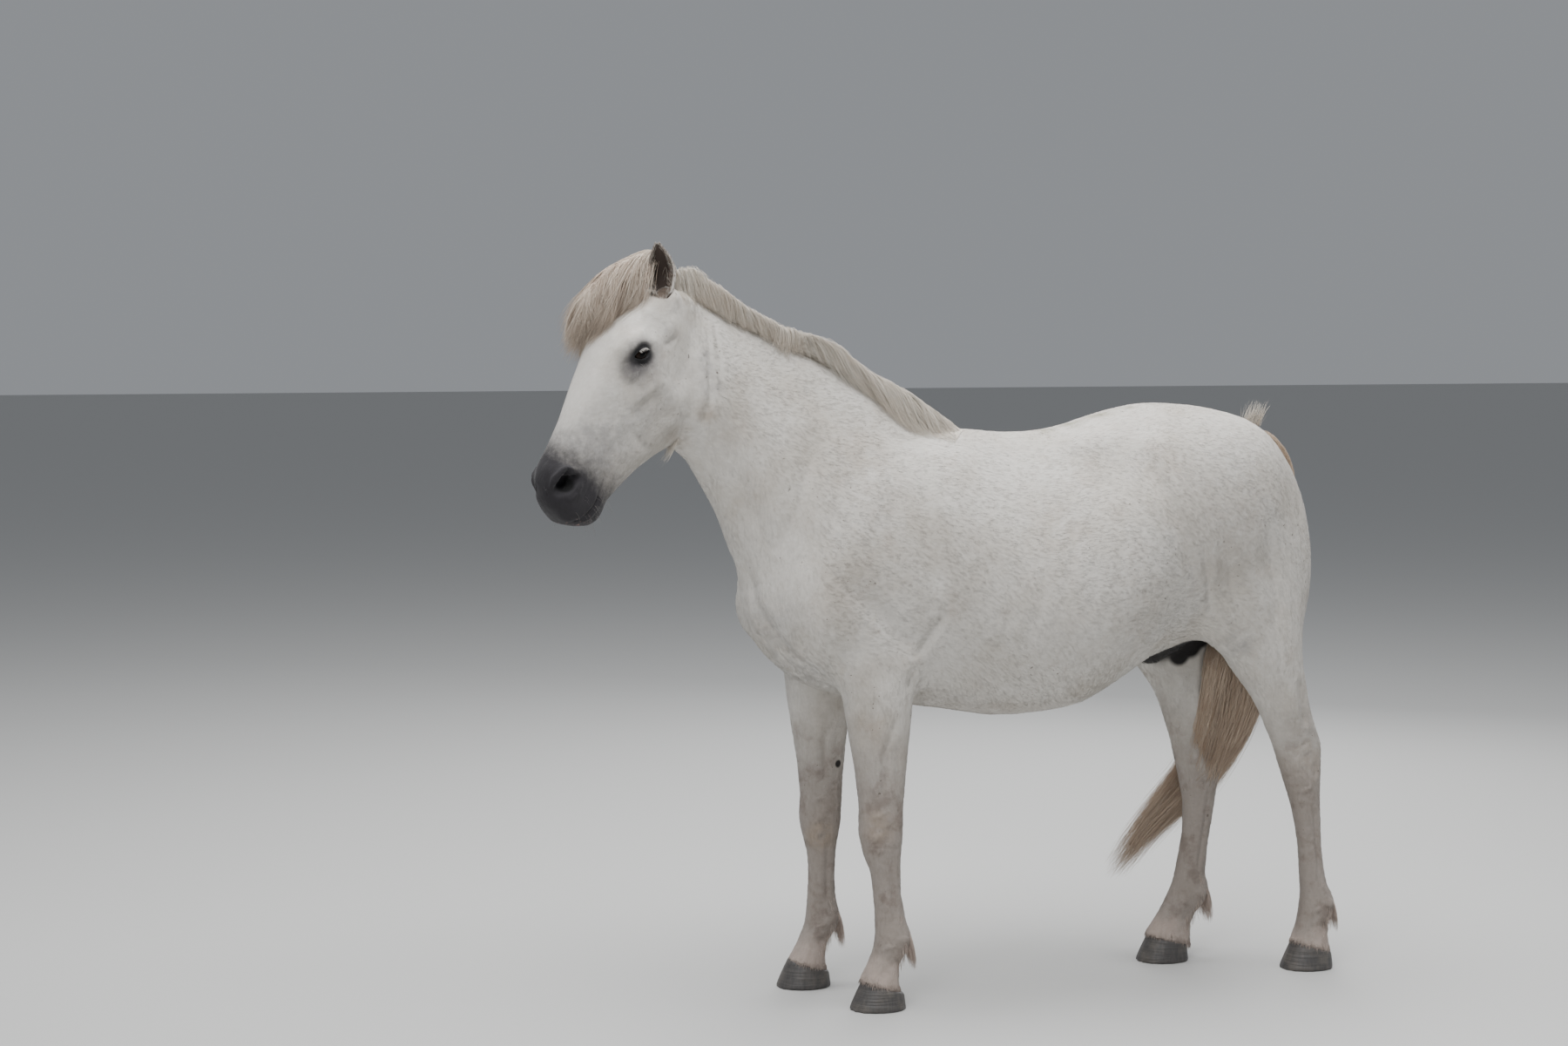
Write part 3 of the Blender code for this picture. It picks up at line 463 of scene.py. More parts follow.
# The same on the head, to the left, down the face and out of it.
HEAD_FORMS = forms(
    """
    # Rim of the eye socket, the hollow above it, the temple's line behind it.
    88 268 46, 96 232 66, 98 196 58, 96 166 24, 92 158 -8: 9 5
    78 130 46: 20 -7
    94 163 -4, 90 140 -18, 86 112 -30: 5 -4
    90 145 0, 85 115 -8, 75 80 0: 10 4
    93 262 -6, 80 300 20: 10 -3
    # Crest of the face with the hollows beside it, cheek and its edges.
    96 215 -50, 94 250 -40, 87 290 -26, 76 340 -14: 9 6
    95 258 -62, 85 305 -48, 73 352 -40: 12 -5
    74 320 26, 60 385 22, 54 440 16: 18 -5
    94 190 -95, 85 262 -135: 45 4
    80 100 -100, 88 130 -132, 88 180 -170, 74 238 -194, 52 276 -204: 12 6
    86 88 -118, 94 122 -152, 94 172 -188, 78 236 -214: 7.5 -10
    74 350 -45, 70 362 -75, 62 369 -108, 52 352 -135: 8 -5.5
    66 395 -70, 58 430 -92: 14 3
    # Root of the ear.
    60 64 30: 22 14
    72 85 10, 85 120 -10: 12 4
    # Edge of the nasal bone, veins of the face.
    36 245 93, 37 325 78, 34 447 52: 10 3
    78 335 -20, 68 385 -8, 60 425 6, 52 450 26: 3.2 2.2
    68 385 -8, 64 420 -22, 58 455 -30: 2.8 1.6
    """
)
MUZZLE_FORMS = forms(
    """
    # Nostril: its rim, the hollow above it and the folds below.
    30 590 22, 40 562 40, 50 528 33, 54 512 4, 55 524 -22: 5.5 5.5
    55 524 -22, 53 556 -30, 46 586 -18: 6 3
    46 490 30: 14 -3
    45 563 6: 11 -7
    54 498 -30, 53 530 -50, 46 570 -52: 5 -2
    # Lips: the cleft, its corner and the swell to each side.
    50 480 -72, 47 501 -80, 44 539 -87, 40 574 -84, 31 602 -71, 12 620 -48: 3 -4.5
    47 510 -70, 44 545 -76, 38 582 -70, 24 612 -54: 6 3
    46 500 -92, 42 535 -100, 36 575 -96, 24 600 -82: 6 3
    53 482 -60, 51 476 -75, 47 480 -90: 5 -2
    30 515 -132: 14 -4
    """
)


def shape(clay, rows, lay, signs=(LEFT, RIGHT), wider=1.0, higher=1.0, fade=0.25):
    """Pushes a table's forms out of the skin, laid out by the given function."""
    for sign in signs:
        for path, width, height in rows:
            clay.ridge([lay(x * sign, y, z) for x, y, z in path], width * wider, height * higher, fade)


def shape_body(clay):
    shape(clay, BODY_FORMS + RIBS, place, wider=1.45, higher=1.05)
    shape(clay, MIDDLE_FORMS, place, signs=(1,), wider=1.3)
    clay.renew()


def shape_head(clay):
    shape(clay, HEAD_FORMS, on_head, wider=1.45, higher=0.8, fade=0.45)
    clay.renew()
    for side, sign in SIDES.items():
        shape(clay, MUZZLE_FORMS, on_head, signs=(sign,), fade=0.2)
        sink_nostril(clay, side)
    clay.renew()


def sink_nostril(clay, side):
    """A deep slanted opening, wider below."""
    s = SIDES[side]
    centre = np.array(on_head(0.05 * s, 0.554, 0.004))
    long_way = np.array(way_on_head(0.1 * s, 0.8, 0.3))
    inward = np.array(way_on_head(-0.8 * s, -0.45, -0.1))
    wide_way = unit(np.cross(long_way, inward))
    local = clay.points - centre
    a, b = local @ long_way, local @ wide_way
    width = 0.015 + 0.1 * np.clip(a, -0.03, 0.03)
    mask = np.exp(-(((a / 0.0295) ** 2 + (b / width) ** 2) ** 2)) * (np.abs(local @ inward) < 0.04)
    clay.points += inward * (0.026 * mask)[:, None]


class Limb:
    """A leg as the skin has it: where its front, back, inner and outer faces are at each height."""

    def __init__(self, which, side, points):
        low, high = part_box(f"{which}_lower_leg_{side}")
        self.which, self.sign = which, SIDES[side]
        middle_y = (low.y + high.y) / 2
        near = (points[:, 0] * self.sign > 0.01) & (np.abs(points[:, 1] - middle_y) < 0.19) & (points[:, 2] < 0.8)
        self.points = points[near]

    def at(self, z, back, out):
        """A point of the leg's section: back from 0 in front to 1 behind, out from 0 inside to 1 outside."""
        layer = self.points[np.abs(self.points[:, 2] - z) < 0.008]
        x, y = layer[:, 0] * self.sign, layer[:, 1]
        across, along = x.min() + (x.max() - x.min()) * out, y.min() + (y.max() - y.min()) * back
        return Vector((self.sign * across, along, z))


def limbs(points):
    return [Limb(which, side, points) for which in ("fore", "hind") for side in SIDES]


# Forms on a leg's inner and outer faces: height, and share of the way back in thousandths.
FORE_FORMS = forms(
    """
    740 420, 620 450, 520 480: 10 -4.5
    720 250, 620 300, 530 330: 16 4
    660 720, 540 740: 10 -3
    465 920, 445 900: 12 6
    480 300, 470 340: 12 3
    430 220, 415 300: 12 4
    392 300, 385 400: 10 3
    450 550, 410 560: 9 -3
    365 600, 290 600, 215 560: 7 -5
    340 820, 270 820, 220 800: 4 -2
    178 780, 158 720: 13 5
    160 300, 150 360: 11 3
    120 700, 105 620: 12 -4
    """
)
HIND_FORMS = forms(
    """
    760 800, 690 760, 630 680: 15 -10
    740 500, 640 500, 580 440: 16 4
    585 500, 560 520: 14 4
    555 280, 520 340: 12 3
    540 740, 500 740: 9 -4
    475 400, 465 460: 12 4
    440 620, 330 620, 225 580: 7 -5
    410 840, 300 840, 230 820: 4 -2
    180 780, 160 720: 13 5
    160 300, 150 360: 11 3
    120 700, 105 620: 12 -4
    """
)


def shape_legs(clay):
    for limb in limbs(clay.points):
        for path, width, height in FORE_FORMS if limb.which == "fore" else HIND_FORMS:
            for out in (0.0, 1.0):
                clay.ridge([limb.at(z, back, out) for z, back in path], width, height, fade=0.2)
    clay.renew()


def eye_axes(side):
    """Towards the rear corner, up across the lids, and out of the eye."""
    s = SIDES[side]
    out = way_on_head(0.97 * s, 0.06, -0.17)
    rear = way_on_head(0.27 * s, -0.78, -0.56)
    rear = (rear - out * rear.dot(out)).normalized()
    up = out.cross(rear)
    if up.dot(OUTWARD - DOWN_FACE * 0.5) < 0:
        up = -up
    return rear, up, out


def shape_eye(clay, side):
    """Lids over the eyeball, with an almond opening between them."""
    rear, up, out = (np.array(axis) for axis in eye_axes(side))
    local = clay.points - np.array(EYES[side])
    a, b, c = local @ rear, local @ up, local @ out
    near = (np.hypot(a, b) < 0.05) & (c > -0.004)
    a, b, c = a[near], b[near], c[near]
    flat = np.hypot(a, b)
    ball = np.sqrt(np.clip(EYE_RADIUS**2 - flat**2, 0, None))
    # Lid surface: over the ball, falling off to the skin round it.
    lid = np.where(flat < EYE_RADIUS, ball, -0.004 - (flat - EYE_RADIUS)) + 0.0022
    blend = 0.004
    mixed = np.maximum(c, lid) + blend * 0.25 * np.clip(1 - np.abs(c - lid) / blend, 0, 1) ** 2
    settle = step_between(0.034 - flat, 0, 0.012)
    c = c * (1 - settle) + (mixed * 0.75 + 0.25 * np.maximum(lid, c * 0.8)) * settle
    # Opening.
    width = np.clip(1 - (a / LID_HALF) ** 2, 0, None)
    top = 0.0105 * width**0.75 + 0.0015
    low = -0.0105 * width**0.85
    gap = np.minimum(top - b, b - low)
    inside = step_between(gap, 0.0, LID_RIM) * (np.abs(a) < LID_HALF)
    c = c * (1 - inside) + (ball - 0.005) * inside
    # Lid creases and the swell of the lids' rims.
    rim = np.exp(-((gap + LID_RIM) / LID_RIM) ** 2) * (np.abs(a) < LID_HALF * 1.05) * (1 - inside)
    c += 0.0009 * rim
    for line, long, deep, thick in (
        (top + 0.0075, 0.03, 0.0016, 0.0018),
        (top + 0.0125, 0.03, 0.001, 0.002),
        (low - 0.0065, 0.026, 0.0009, 0.0018),
        (low - 0.0115, 0.026, 0.0007, 0.0022),
    ):
        c -= deep * np.exp(-(((b - line) / thick) ** 2)) * step_between(long - np.abs(a), 0, 0.012)
    clay.points[near] = np.array(EYES[side]) + a[:, None] * rear + b[:, None] * up + c[:, None] * out


# ---------------------------------------------------------------- materials


class Paint:
    """A material being put together from nodes."""

    def __init__(self, name, roughness=0.8):
        self.material = bpy.data.materials.new(name)
        self.material.use_nodes = True
        self.tree = self.material.node_tree
        self.shader = self.tree.nodes["Principled BSDF"]
        self.shader.inputs["Roughness"].default_value = roughness
        self.place = self.tree.nodes.new("ShaderNodeTexCoord").outputs["Object"]

    def node(self, kind, inputs=(), **settings):
        made = self.tree.nodes.new(kind)
        for name, value in settings.items():
            setattr(made, name, value)
        for socket, value in dict(inputs).items():
            if isinstance(value, bpy.types.NodeSocket):
                self.tree.links.new(value, made.inputs[socket])
            else:
                made.inputs[socket].default_value = value
        return made

    def maths(self, operation, *values):
        return self.node("ShaderNodeMath", dict(enumerate(values)), operation=operation).outputs[0]

    def times(self, one, other):
        return self.maths("MULTIPLY", one, other)

    def each(self):
        """A random number for each strand."""
        return self.node("ShaderNodeNewGeometry").outputs["Random Per Island"]

    def noise(self, scale, detail, stretch=None, rough=0.5):
        where = self.place
        if stretch is not None:
            where = self.node("ShaderNodeMapping", {0: where, 3: stretch}).outputs[0]
        inputs = {"Vector": where, "Scale": scale, "Detail": detail, "Roughness": rough}
        return self.node("ShaderNodeTexNoise", inputs).outputs[0]

    def ramp(self, value, low, high, start=0.0, end=1.0):
        inputs = {0: value, 1: low, 2: high, 3: start, 4: end}
        return self.node("ShaderNodeMapRange", inputs, interpolation_type="SMOOTHSTEP").outputs[0]

    def near(self, centre, radius, soft):
        """1 within the radius of a place, falling to 0 beyond it."""
        gap = self.node("ShaderNodeVectorMath", {0: self.place, 1: centre}, operation="DISTANCE").outputs["Value"]
        return self.ramp(gap, radius * (1 + soft), radius * (1 - soft))

    def along(self, direction, origin):
        shifted = self.node("ShaderNodeVectorMath", {0: self.place, 1: origin}, operation="SUBTRACT").outputs[0]
        inputs = {0: shifted, 1: direction}
        return self.node("ShaderNodeVectorMath", inputs, operation="DOT_PRODUCT").outputs["Value"]

    def mix(self, share, under, over, blend="MIX"):
        made = self.node("ShaderNodeMix", {0: share, 6: under, 7: over}, data_type="RGBA", blend_type=blend)
        return made.outputs[2]

    def bump(self, height, distance, strength, under=None):
        inputs = {"Height": height, "Distance": distance, "Strength": strength}
        if under is not None:
            inputs["Normal"] = under
        return self.node("ShaderNodeBump", inputs).outputs[0]

    def finish(self, colour=None, normal=None, **sockets):
        for socket, value in (("Base Color", colour), ("Normal", normal)):
            if value is not None:
                self.tree.links.new(value, self.shader.inputs[socket])
        for socket, value in sockets.items():
            self.shader.inputs[socket].default_value = value
        return self.material


WHITE = (0.6, 0.575, 0.535, 1)
SMOKE, UMBER = (0.2, 0.195, 0.2, 1), (0.05, 0.034, 0.026, 1)
# Colours of the stains and of the painted shade, by name.
STAIN_AND_SHADE_COLOURS = {
    "brown": (0.33, 0.265, 0.205, 1),
    "dirt": (0.25, 0.24, 0.16, 1),
    "smoke": SMOKE,
    "black": (0.016, 0.014, 0.014, 1),
    "umber": UMBER,
}


def stain_and_shade_rows(text):
    """Rows of a place and a radius in millimetres, a colour, and its depth in hundredths."""
    rows = [line.split() for line in text.splitlines() if line.strip()]
    return [(thousandths(" ".join(row[:4])), row[4], int(row[5]) / 100) for row in rows]


# Stains and shades on both sides of the coat; the last two rows are painted shade, grey under the breast and between
# the forelegs.
STAINS_AND_SHADE = stain_and_shade_rows(
    """
    106 17 1339 70 brown 22
    148 46 1257 70 brown 22
    185 -50 1020 80 brown 18
    237 468 1161 80 brown 25
    259 934 1162 100 brown 25
    227 737 1312 50 brown 30
    250 860 1020 50 brown 20
    190 980 850 35 smoke 45
    172 42 450 35 brown 55
    180 10 700 50 brown 30
    150 1215 550 50 brown 35
    105 -225 930 90 smoke 22
    75 -150 800 80 smoke 35
    """
)
# Those on one side or in the middle.
MIDDLE_STAINS = stain_and_shade_rows(
    """
    20 530 1395 28 dirt 60
    14 600 1408 34 dirt 75
    10 680 1430 36 dirt 80
    12 760 1448 34 dirt 75
    18 830 1455 28 dirt 60
    0 850 830 80 black 100
    45 895 850 58 black 100
    -45 895 850 58 black 100
    36 935 800 28 black 100
    36 965 825 34 black 100
    34 995 845 30 black 100
    -36 935 800 28 black 100
    -36 965 825 34 black 100
    -34 995 845 30 black 100
    -90 -20 380 35 brown 70
    -85 28 560 10 black 100
    88 85 560 10 black 100
    """
)
# Those on both sides of the head, in its own directions: grey and brown patches, and in the three rows from 105 to 205
# down the face, painted shade along the groove behind the jaw.
HEAD_STAINS_AND_SHADE = stain_and_shade_rows(
    """
    60 46 52 21 umber 100
    68 430 0 60 smoke 45
    78 340 -45 50 smoke 22
    90 270 -60 55 smoke 18
    90 130 -5 28 smoke 22
    92 105 -135 26 smoke 45
    94 150 -175 26 smoke 45
    86 205 -205 26 brown 50
    60 300 -190 40 brown 40
    70 60 50 35 brown 30
    """
)


def markings_and_painted_shade(paint):
    """The coat's colour at each place, the same for skin and coat, with painted shade under the breast, behind the jaw
    and inside the nostrils.
    """
    cloud = paint.noise(5.0, 4, rough=0.6)
    colour = paint.mix(paint.ramp(cloud, 0.38, 0.72), WHITE, (0.5, 0.465, 0.415, 1))
    patch = paint.noise(14.0, 5, rough=0.7)
    warm = paint.ramp(patch, 0.5, 0.8, 0, 0.35)
    colour = paint.mix(warm, colour, (0.43, 0.36, 0.3, 1))
    height = paint.node("ShaderNodeSeparateXYZ", {0: paint.place}).outputs[2]
    uneven = paint.maths("ADD", height, paint.times(paint.noise(9.0, 4, rough=0.6), 0.24))
    shin = paint.ramp(uneven, 0.92, 0.55)
    colour = paint.mix(paint.times(shin, 0.8), colour, (0.245, 0.205, 0.178, 1))
    blotch = paint.times(shin, paint.ramp(paint.noise(17.0, 4, rough=0.65), 0.48, 0.68, 0, 0.55))
    colour = paint.mix(blotch, colour, (0.17, 0.13, 0.11, 1))
    pastern = paint.ramp(uneven, 0.27, 0.19)
    colour = paint.mix(paint.times(pastern, 0.65), colour, (0.5, 0.41, 0.36, 1))
    grain = paint.ramp(paint.noise(24.0, 4, rough=0.65), 0.3, 0.62)
    # Stains and patches of colour; the rows that the tables' comments name are painted shade, under the breast and
    # along the groove behind the jaw.
    for spots, sides, lay in ((STAINS_AND_SHADE, (1, -1), place), (HEAD_STAINS_AND_SHADE, (1, -1), on_head), (MIDDLE_STAINS, (1,), place)):
        for (x, y, z, radius), tint, depth in spots:
            for side in sides:
                sharp = tint in ("black", "umber")
                soft = 0.25 if sharp else 0.6
                share = paint.times(paint.near(tuple(lay(x * side, y, z)), radius, soft), depth)
                if not sharp:
                    share = paint.times(share, grain)
                colour = paint.mix(share, colour, STAIN_AND_SHADE_COLOURS[tint])
    flecks = paint.ramp(paint.noise(95.0, 1), 0.735, 0.775, 0, 0.75)
    flecks = paint.times(flecks, paint.ramp(paint.noise(4.0, 2), 0.42, 0.6))
    colour = paint.mix(flecks, colour, (0.11, 0.085, 0.07, 1))
    # Muzzle, round the eyes.
    nose = paint.along(tuple(DOWN_FACE), tuple(POLL))
    rough = paint.times(paint.noise(26, 5, rough=0.7), 0.085)
    edge = paint.maths("ADD", nose, rough)
    region = paint.near(tuple(on_head(0, 0.52, -0.02)), 0.2, 0.2)
    muzzle = paint.times(paint.ramp(edge, 0.475, 0.575), region)
    smoky = paint.times(paint.ramp(edge, 0.4, 0.54, 0, 0.4), region)
    colour = paint.mix(smoky, colour, SMOKE)
    colour = paint.mix(muzzle, colour, (0.025, 0.023, 0.026, 1))
    for side in SIDES:
        rear, _, out = eye_axes(side)
        for spot, radius, soft, depth, shade in (
            (EYES[side] + out * 0.01 + DOWN_FACE * 0.042 + rear * 0.03, 0.048, 0.6, 0.38, 0.11),
            (EYES[side] + out * 0.014 + DOWN_FACE * 0.042 - rear * 0.004, 0.03, 0.5, 0.6, 0.08),
            (EYES[side] + out * 0.018 - rear * 0.006, 0.04, 0.4, 0.72, 0.07),
            (EYES[side] + out * 0.018 - rear * 0.019, 0.02, 0.4, 0.85, 0.02),
            (EYES[side] + out * 0.02, 0.0275, 0.28, 1.00, 0.012),
        ):
            share = paint.times(paint.near(tuple(spot), radius, soft), depth)
            if depth < 0.8:
                share = paint.times(share, paint.ramp(paint.noise(60, 4, rough=0.7), 0.25, 0.6, 0.6, 1.0))
            colour = paint.mix(share, colour, (shade, shade * 0.93, shade * 1.02, 1))
        # Painted shade: the inside of each nostril's opening near black, darker than the muzzle's skin.
        hole = on_head(SIDES[side] * 0.034, 0.552, 0.001)
        colour = paint.mix(paint.near(tuple(hole), 0.02, 0.25), colour, (0.004, 0.004, 0.004, 1))
    lips = paint.times(paint.near(tuple(on_head(0, 0.6, -0.085)), 0.045, 0.3), muzzle)
    spots = paint.times(paint.ramp(paint.noise(130, 3), 0.6, 0.7, 0, 0.6), lips)
    return paint.mix(spots, colour, (0.33, 0.2, 0.18, 1))


def coat_material(name, strands=False):
    paint = Paint(name, 0.75)
    colour = markings_and_painted_shade(paint)
    sockets = {"Specular IOR Level": 0.22, "Sheen Weight": 0.12, "Sheen Roughness": 0.5}
    if strands:
        shade = paint.mix(paint.each(), (0.93, 0.92, 0.905, 1), (1.0, 1.0, 1.0, 1))
        return paint.finish(paint.mix(1.0, colour, shade, "MULTIPLY"), **sockets)
    fine = paint.noise(240, 2, stretch=(1, 0.3, 0.5))
    broad = paint.noise(50, 3, stretch=(1, 0.6, 0.6))
    normal = paint.bump(fine, 0.0014, 0.45)
    normal = paint.bump(broad, 0.004, 0.35, under=normal)
    shade = paint.mix(paint.ramp(fine, 0.3, 0.7), (0.93, 0.925, 0.915, 1), (1.0, 1.0, 1.0, 1))
    return paint.finish(paint.mix(1.0, colour, shade, "MULTIPLY"), normal, **sockets)


def ear_hair_material():
    paint = Paint("ear_hair", 0.8)
    dark = paint.ramp(paint.each(), 0.3, 0.75)
    return paint.finish(paint.mix(dark, (0.52, 0.48, 0.43, 1), (0.17, 0.12, 0.09, 1)))


def ear_material():
    """White outside, with a dark brown lining and a dark rim to the tip."""
    paint = Paint("ear", 0.8)
    colour = paint.mix(paint.noise(60, 3), (0.56, 0.54, 0.5, 1), (0.4, 0.36, 0.32, 1))
    lining = paint.node("ShaderNodeAttribute", attribute_name="lining").outputs["Fac"]
    edge = paint.maths("ADD", lining, paint.times(paint.noise(120, 3), 0.5))
    colour = paint.mix(paint.ramp(edge, 0.3, 0.85), colour, UMBER)
    normal = paint.bump(paint.noise(300, 2), 0.001, 0.5)
    return paint.finish(colour, normal)


def eye_material():
    """Dark brown iris round a long level pupil."""
    paint = Paint("eye", 0.05)
    colour = paint.mix(paint.noise(90, 4, rough=0.7), (0.005, 0.003, 0.002, 1), (0.016, 0.008, 0.004, 1))
    for side in SIDES:
        rear, _, out = eye_axes(side)
        for step in (-0.006, -0.002, 0.002, 0.006):
            spot = EYES[side] + out * EYE_RADIUS + rear * step
            colour = paint.mix(paint.near(tuple(spot), 0.0055, 0.15), colour, (0.001, 0.001, 0.001, 1))
    return paint.finish(colour, **{"Specular IOR Level": 0.1})


def hoof_material():
    paint = Paint("hoof_horn", 0.5)
    rings = paint.noise(9, 2, stretch=(1, 1, 16))
    streaks = paint.noise(170, 3, stretch=(1, 1, 0.07))
    colour = paint.mix(paint.ramp(streaks, 0.3, 0.75), (0.052, 0.049, 0.049, 1), (0.078, 0.072, 0.068, 1))
    worn = paint.ramp(paint.noise(22, 4, rough=0.7), 0.4, 0.75, 0, 0.7)
    colour = paint.mix(worn, colour, (0.13, 0.115, 0.098, 1))
    colour = paint.mix(paint.ramp(rings, 0.5, 0.75, 0, 0.25), colour, (0.12, 0.11, 0.1, 1))
    normal = paint.bump(rings, 0.005, 0.55)
    normal = paint.bump(streaks, 0.0006, 0.25, under=normal)
    return paint.finish(colour, normal)


def hair_material(name, pale, deep, stained, tint, low, strands=True):
    """Long hair: each strand between two shades, with stained stretches."""
    paint = Paint(name, 0.5)
    if strands:
        colour = paint.mix(paint.each(), pale, deep)
    else:
        streak = paint.noise(220, 2, stretch=(1, 0.5, 0.12))
        # Painted shade: the deep streaks of the hair under the strands are a fifth darker than the strands' own deep
        # shade.
        colour = paint.mix(paint.ramp(streak, 0.3, 0.7), pale, tuple(value * 0.8 for value in deep[:3]) + (1,))
    cloud = paint.noise(9, 3)
    colour = paint.mix(paint.ramp(cloud, low, low + 0.3, 0, tint), colour, stained)
    normal = None if strands else paint.bump(streak, 0.003, 0.8)
    return paint.finish(colour, normal, **{"Specular IOR Level": 0.3})


# Long hair's pale, deep and stained shades, how strong the stains are, and where they start in the noise.
HAIR_SHADES = {
    "mane": ((0.73, 0.685, 0.61, 1), (0.56, 0.495, 0.41, 1), (0.54, 0.43, 0.33, 1), 0.35, 0.45),
    "forelock": ((0.72, 0.64, 0.54, 1), (0.44, 0.345, 0.27, 1), (0.45, 0.33, 0.25, 1), 0.45, 0.42),
    "tail": ((0.64, 0.53, 0.42, 1), (0.44, 0.325, 0.235, 1), (0.3, 0.19, 0.125, 1), 0.55, 0.45),
    "feather": ((0.62, 0.53, 0.47, 1), (0.47, 0.375, 0.32, 1), (0.33, 0.235, 0.185, 1), 0.45, 0.46),
    "lash": ((0.66, 0.63, 0.59, 1), (0.4, 0.37, 0.34, 1), (0.1, 0.09, 0.085, 1), 0.3, 0.5),
    "whisker": ((0.3, 0.28, 0.26, 1), (0.09, 0.08, 0.075, 1), (0.04, 0.035, 0.033, 1), 0.5, 0.45),
}


def dressed(obj, look, slot, *nodes):
    """Gives the piece its material and its body, and hides the nodes that it stands for. The slot is not used."""
    obj.data.materials.clear()
    obj.data.materials.append(MATERIALS[look])
    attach(obj, "root")
    if nodes:
        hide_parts(*nodes)
    return obj


# ---------------------------------------------------------------- eyes, ears and hooves


def build_eye(side):
    mesh = bpy.data.meshes.new(f"eyeball_{side}")
    inside_lids = EYE_RADIUS - 0.0003
    with editing(mesh) as bm:
        bmesh.ops.create_uvsphere(bm, u_segments=48, v_segments=32, radius=inside_lids)
    turn = Matrix(eye_axes(side)).transposed().to_4x4()
    mesh.transform(Matrix.Translation(EYES[side]) @ turn)
    mesh.shade_smooth()
    return dressed(new_object(f"eyeball_{side}", mesh), "eye", "eye", f"eye_{side}")


def build_hooves():
    """Rounded copies of the hooves' solids."""
    for node in list(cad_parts):
        if "hoof" in node:
            obj = modified(solids(f"{node}_horn", [node]), "REMESH", mode="VOXEL", voxel_size=0.004)
            largest_piece(obj)
            clay = Clay(obj)
            clay.soften(0.5, 4)
            clay.points[:, 2] = np.maximum(clay.points[:, 2], 0)
            clay.renew()
            obj.data.shade_smooth()
            dressed(obj, "hoof", "hoof", node)


# Each ear's base, tip, the way that it opens, and how far its tip hooks forward.
EARS = {
    "left": (on_head(0.058, 0.05, 0.04), on_head(0.062, -0.038, 0.128), Vector((0.9, -0.44, 0)), 0.01),
    "right": (on_head(-0.058, 0.05, 0.04), on_head(-0.14, -0.02, 0.072), Vector((-0.75, -0.65, -0.2)), 0.008),
}
EAR_HALF_WIDTH = curve("0 .022, .2 .03, .42 .033, .65 .027, .85 .014, 1 .0025")
EAR_DEPTH = curve("0 .024, .3 .026, .7 .014, 1 .0025")
# In radians to each side of the ear's back, open below the base too, down to the head.
EAR_WRAP = curve("-.25 3.1, -.13 3.05, -.04 2.6, .1 2.2, .3 2, .5 1.85, 1 1.5")
EAR_THICKNESS = curve("0 .006, .6 .004, 1 .0012")


def ear_surface(side, t, turn, inward):
    """Places on the ear's wall: t from base to tip, turn from edge to edge, inward from outer face to inner."""
    base, tip, opening, hook = EARS[side]
    along = (tip - base).normalized()
    facing = (opening - along * opening.dot(along)).normalized()
    across = along.cross(facing)
    middle_line = np.array(base) + t[..., None] * np.array(tip - base)
    middle_line = middle_line + (hook * t**3 - 0.014 * np.sin(math.pi * t))[..., None] * np.array(facing)
    angle = turn * EAR_WRAP(t)
    shrink = 1 + 2.4 * np.minimum(t, 0)
    way = (np.sin(angle) * EAR_HALF_WIDTH(t) * shrink)[..., None] * np.array(across)
    way = way - (np.cos(angle) * EAR_DEPTH(t) * shrink)[..., None] * np.array(facing)
    length = np.linalg.norm(way, axis=-1)
    return middle_line + way * (1 - inward * EAR_THICKNESS(t) / length)[..., None], unit(way), np.array(along)


def build_ears():
    for side in SIDES:
        t = np.linspace(-0.22, 1, 50)[:, None]
        turn = np.linspace(-1, 1, 33)[None, :]
        walls = [ear_surface(side, t + 0 * turn, turn + 0 * t, inward)[0] for inward in (0.06, 0.9)]
        obj = ringed_body(f"ear_skin_{side}", np.concatenate([walls[0], walls[1][:, ::-1]], axis=1))
        lining = obj.data.attributes.new("lining", "FLOAT", "POINT")
        depth = np.clip((1 - np.abs(turn)) * 9, 0, 1) * np.clip(1.1 - np.clip(t, 0, 1) ** 8, 0, 1) * np.ones_like(t)
        notch = step_between(0.1 - t, 0, 0.1) * step_between(np.abs(turn), 0.6, 0.9)
        values = np.concatenate([notch * 0.9, np.maximum(depth, notch)[:, ::-1]], axis=1)
        lining.data.foreach_set("value", values.ravel())
        dressed(obj, "ear", "coat", f"ear_{side}")


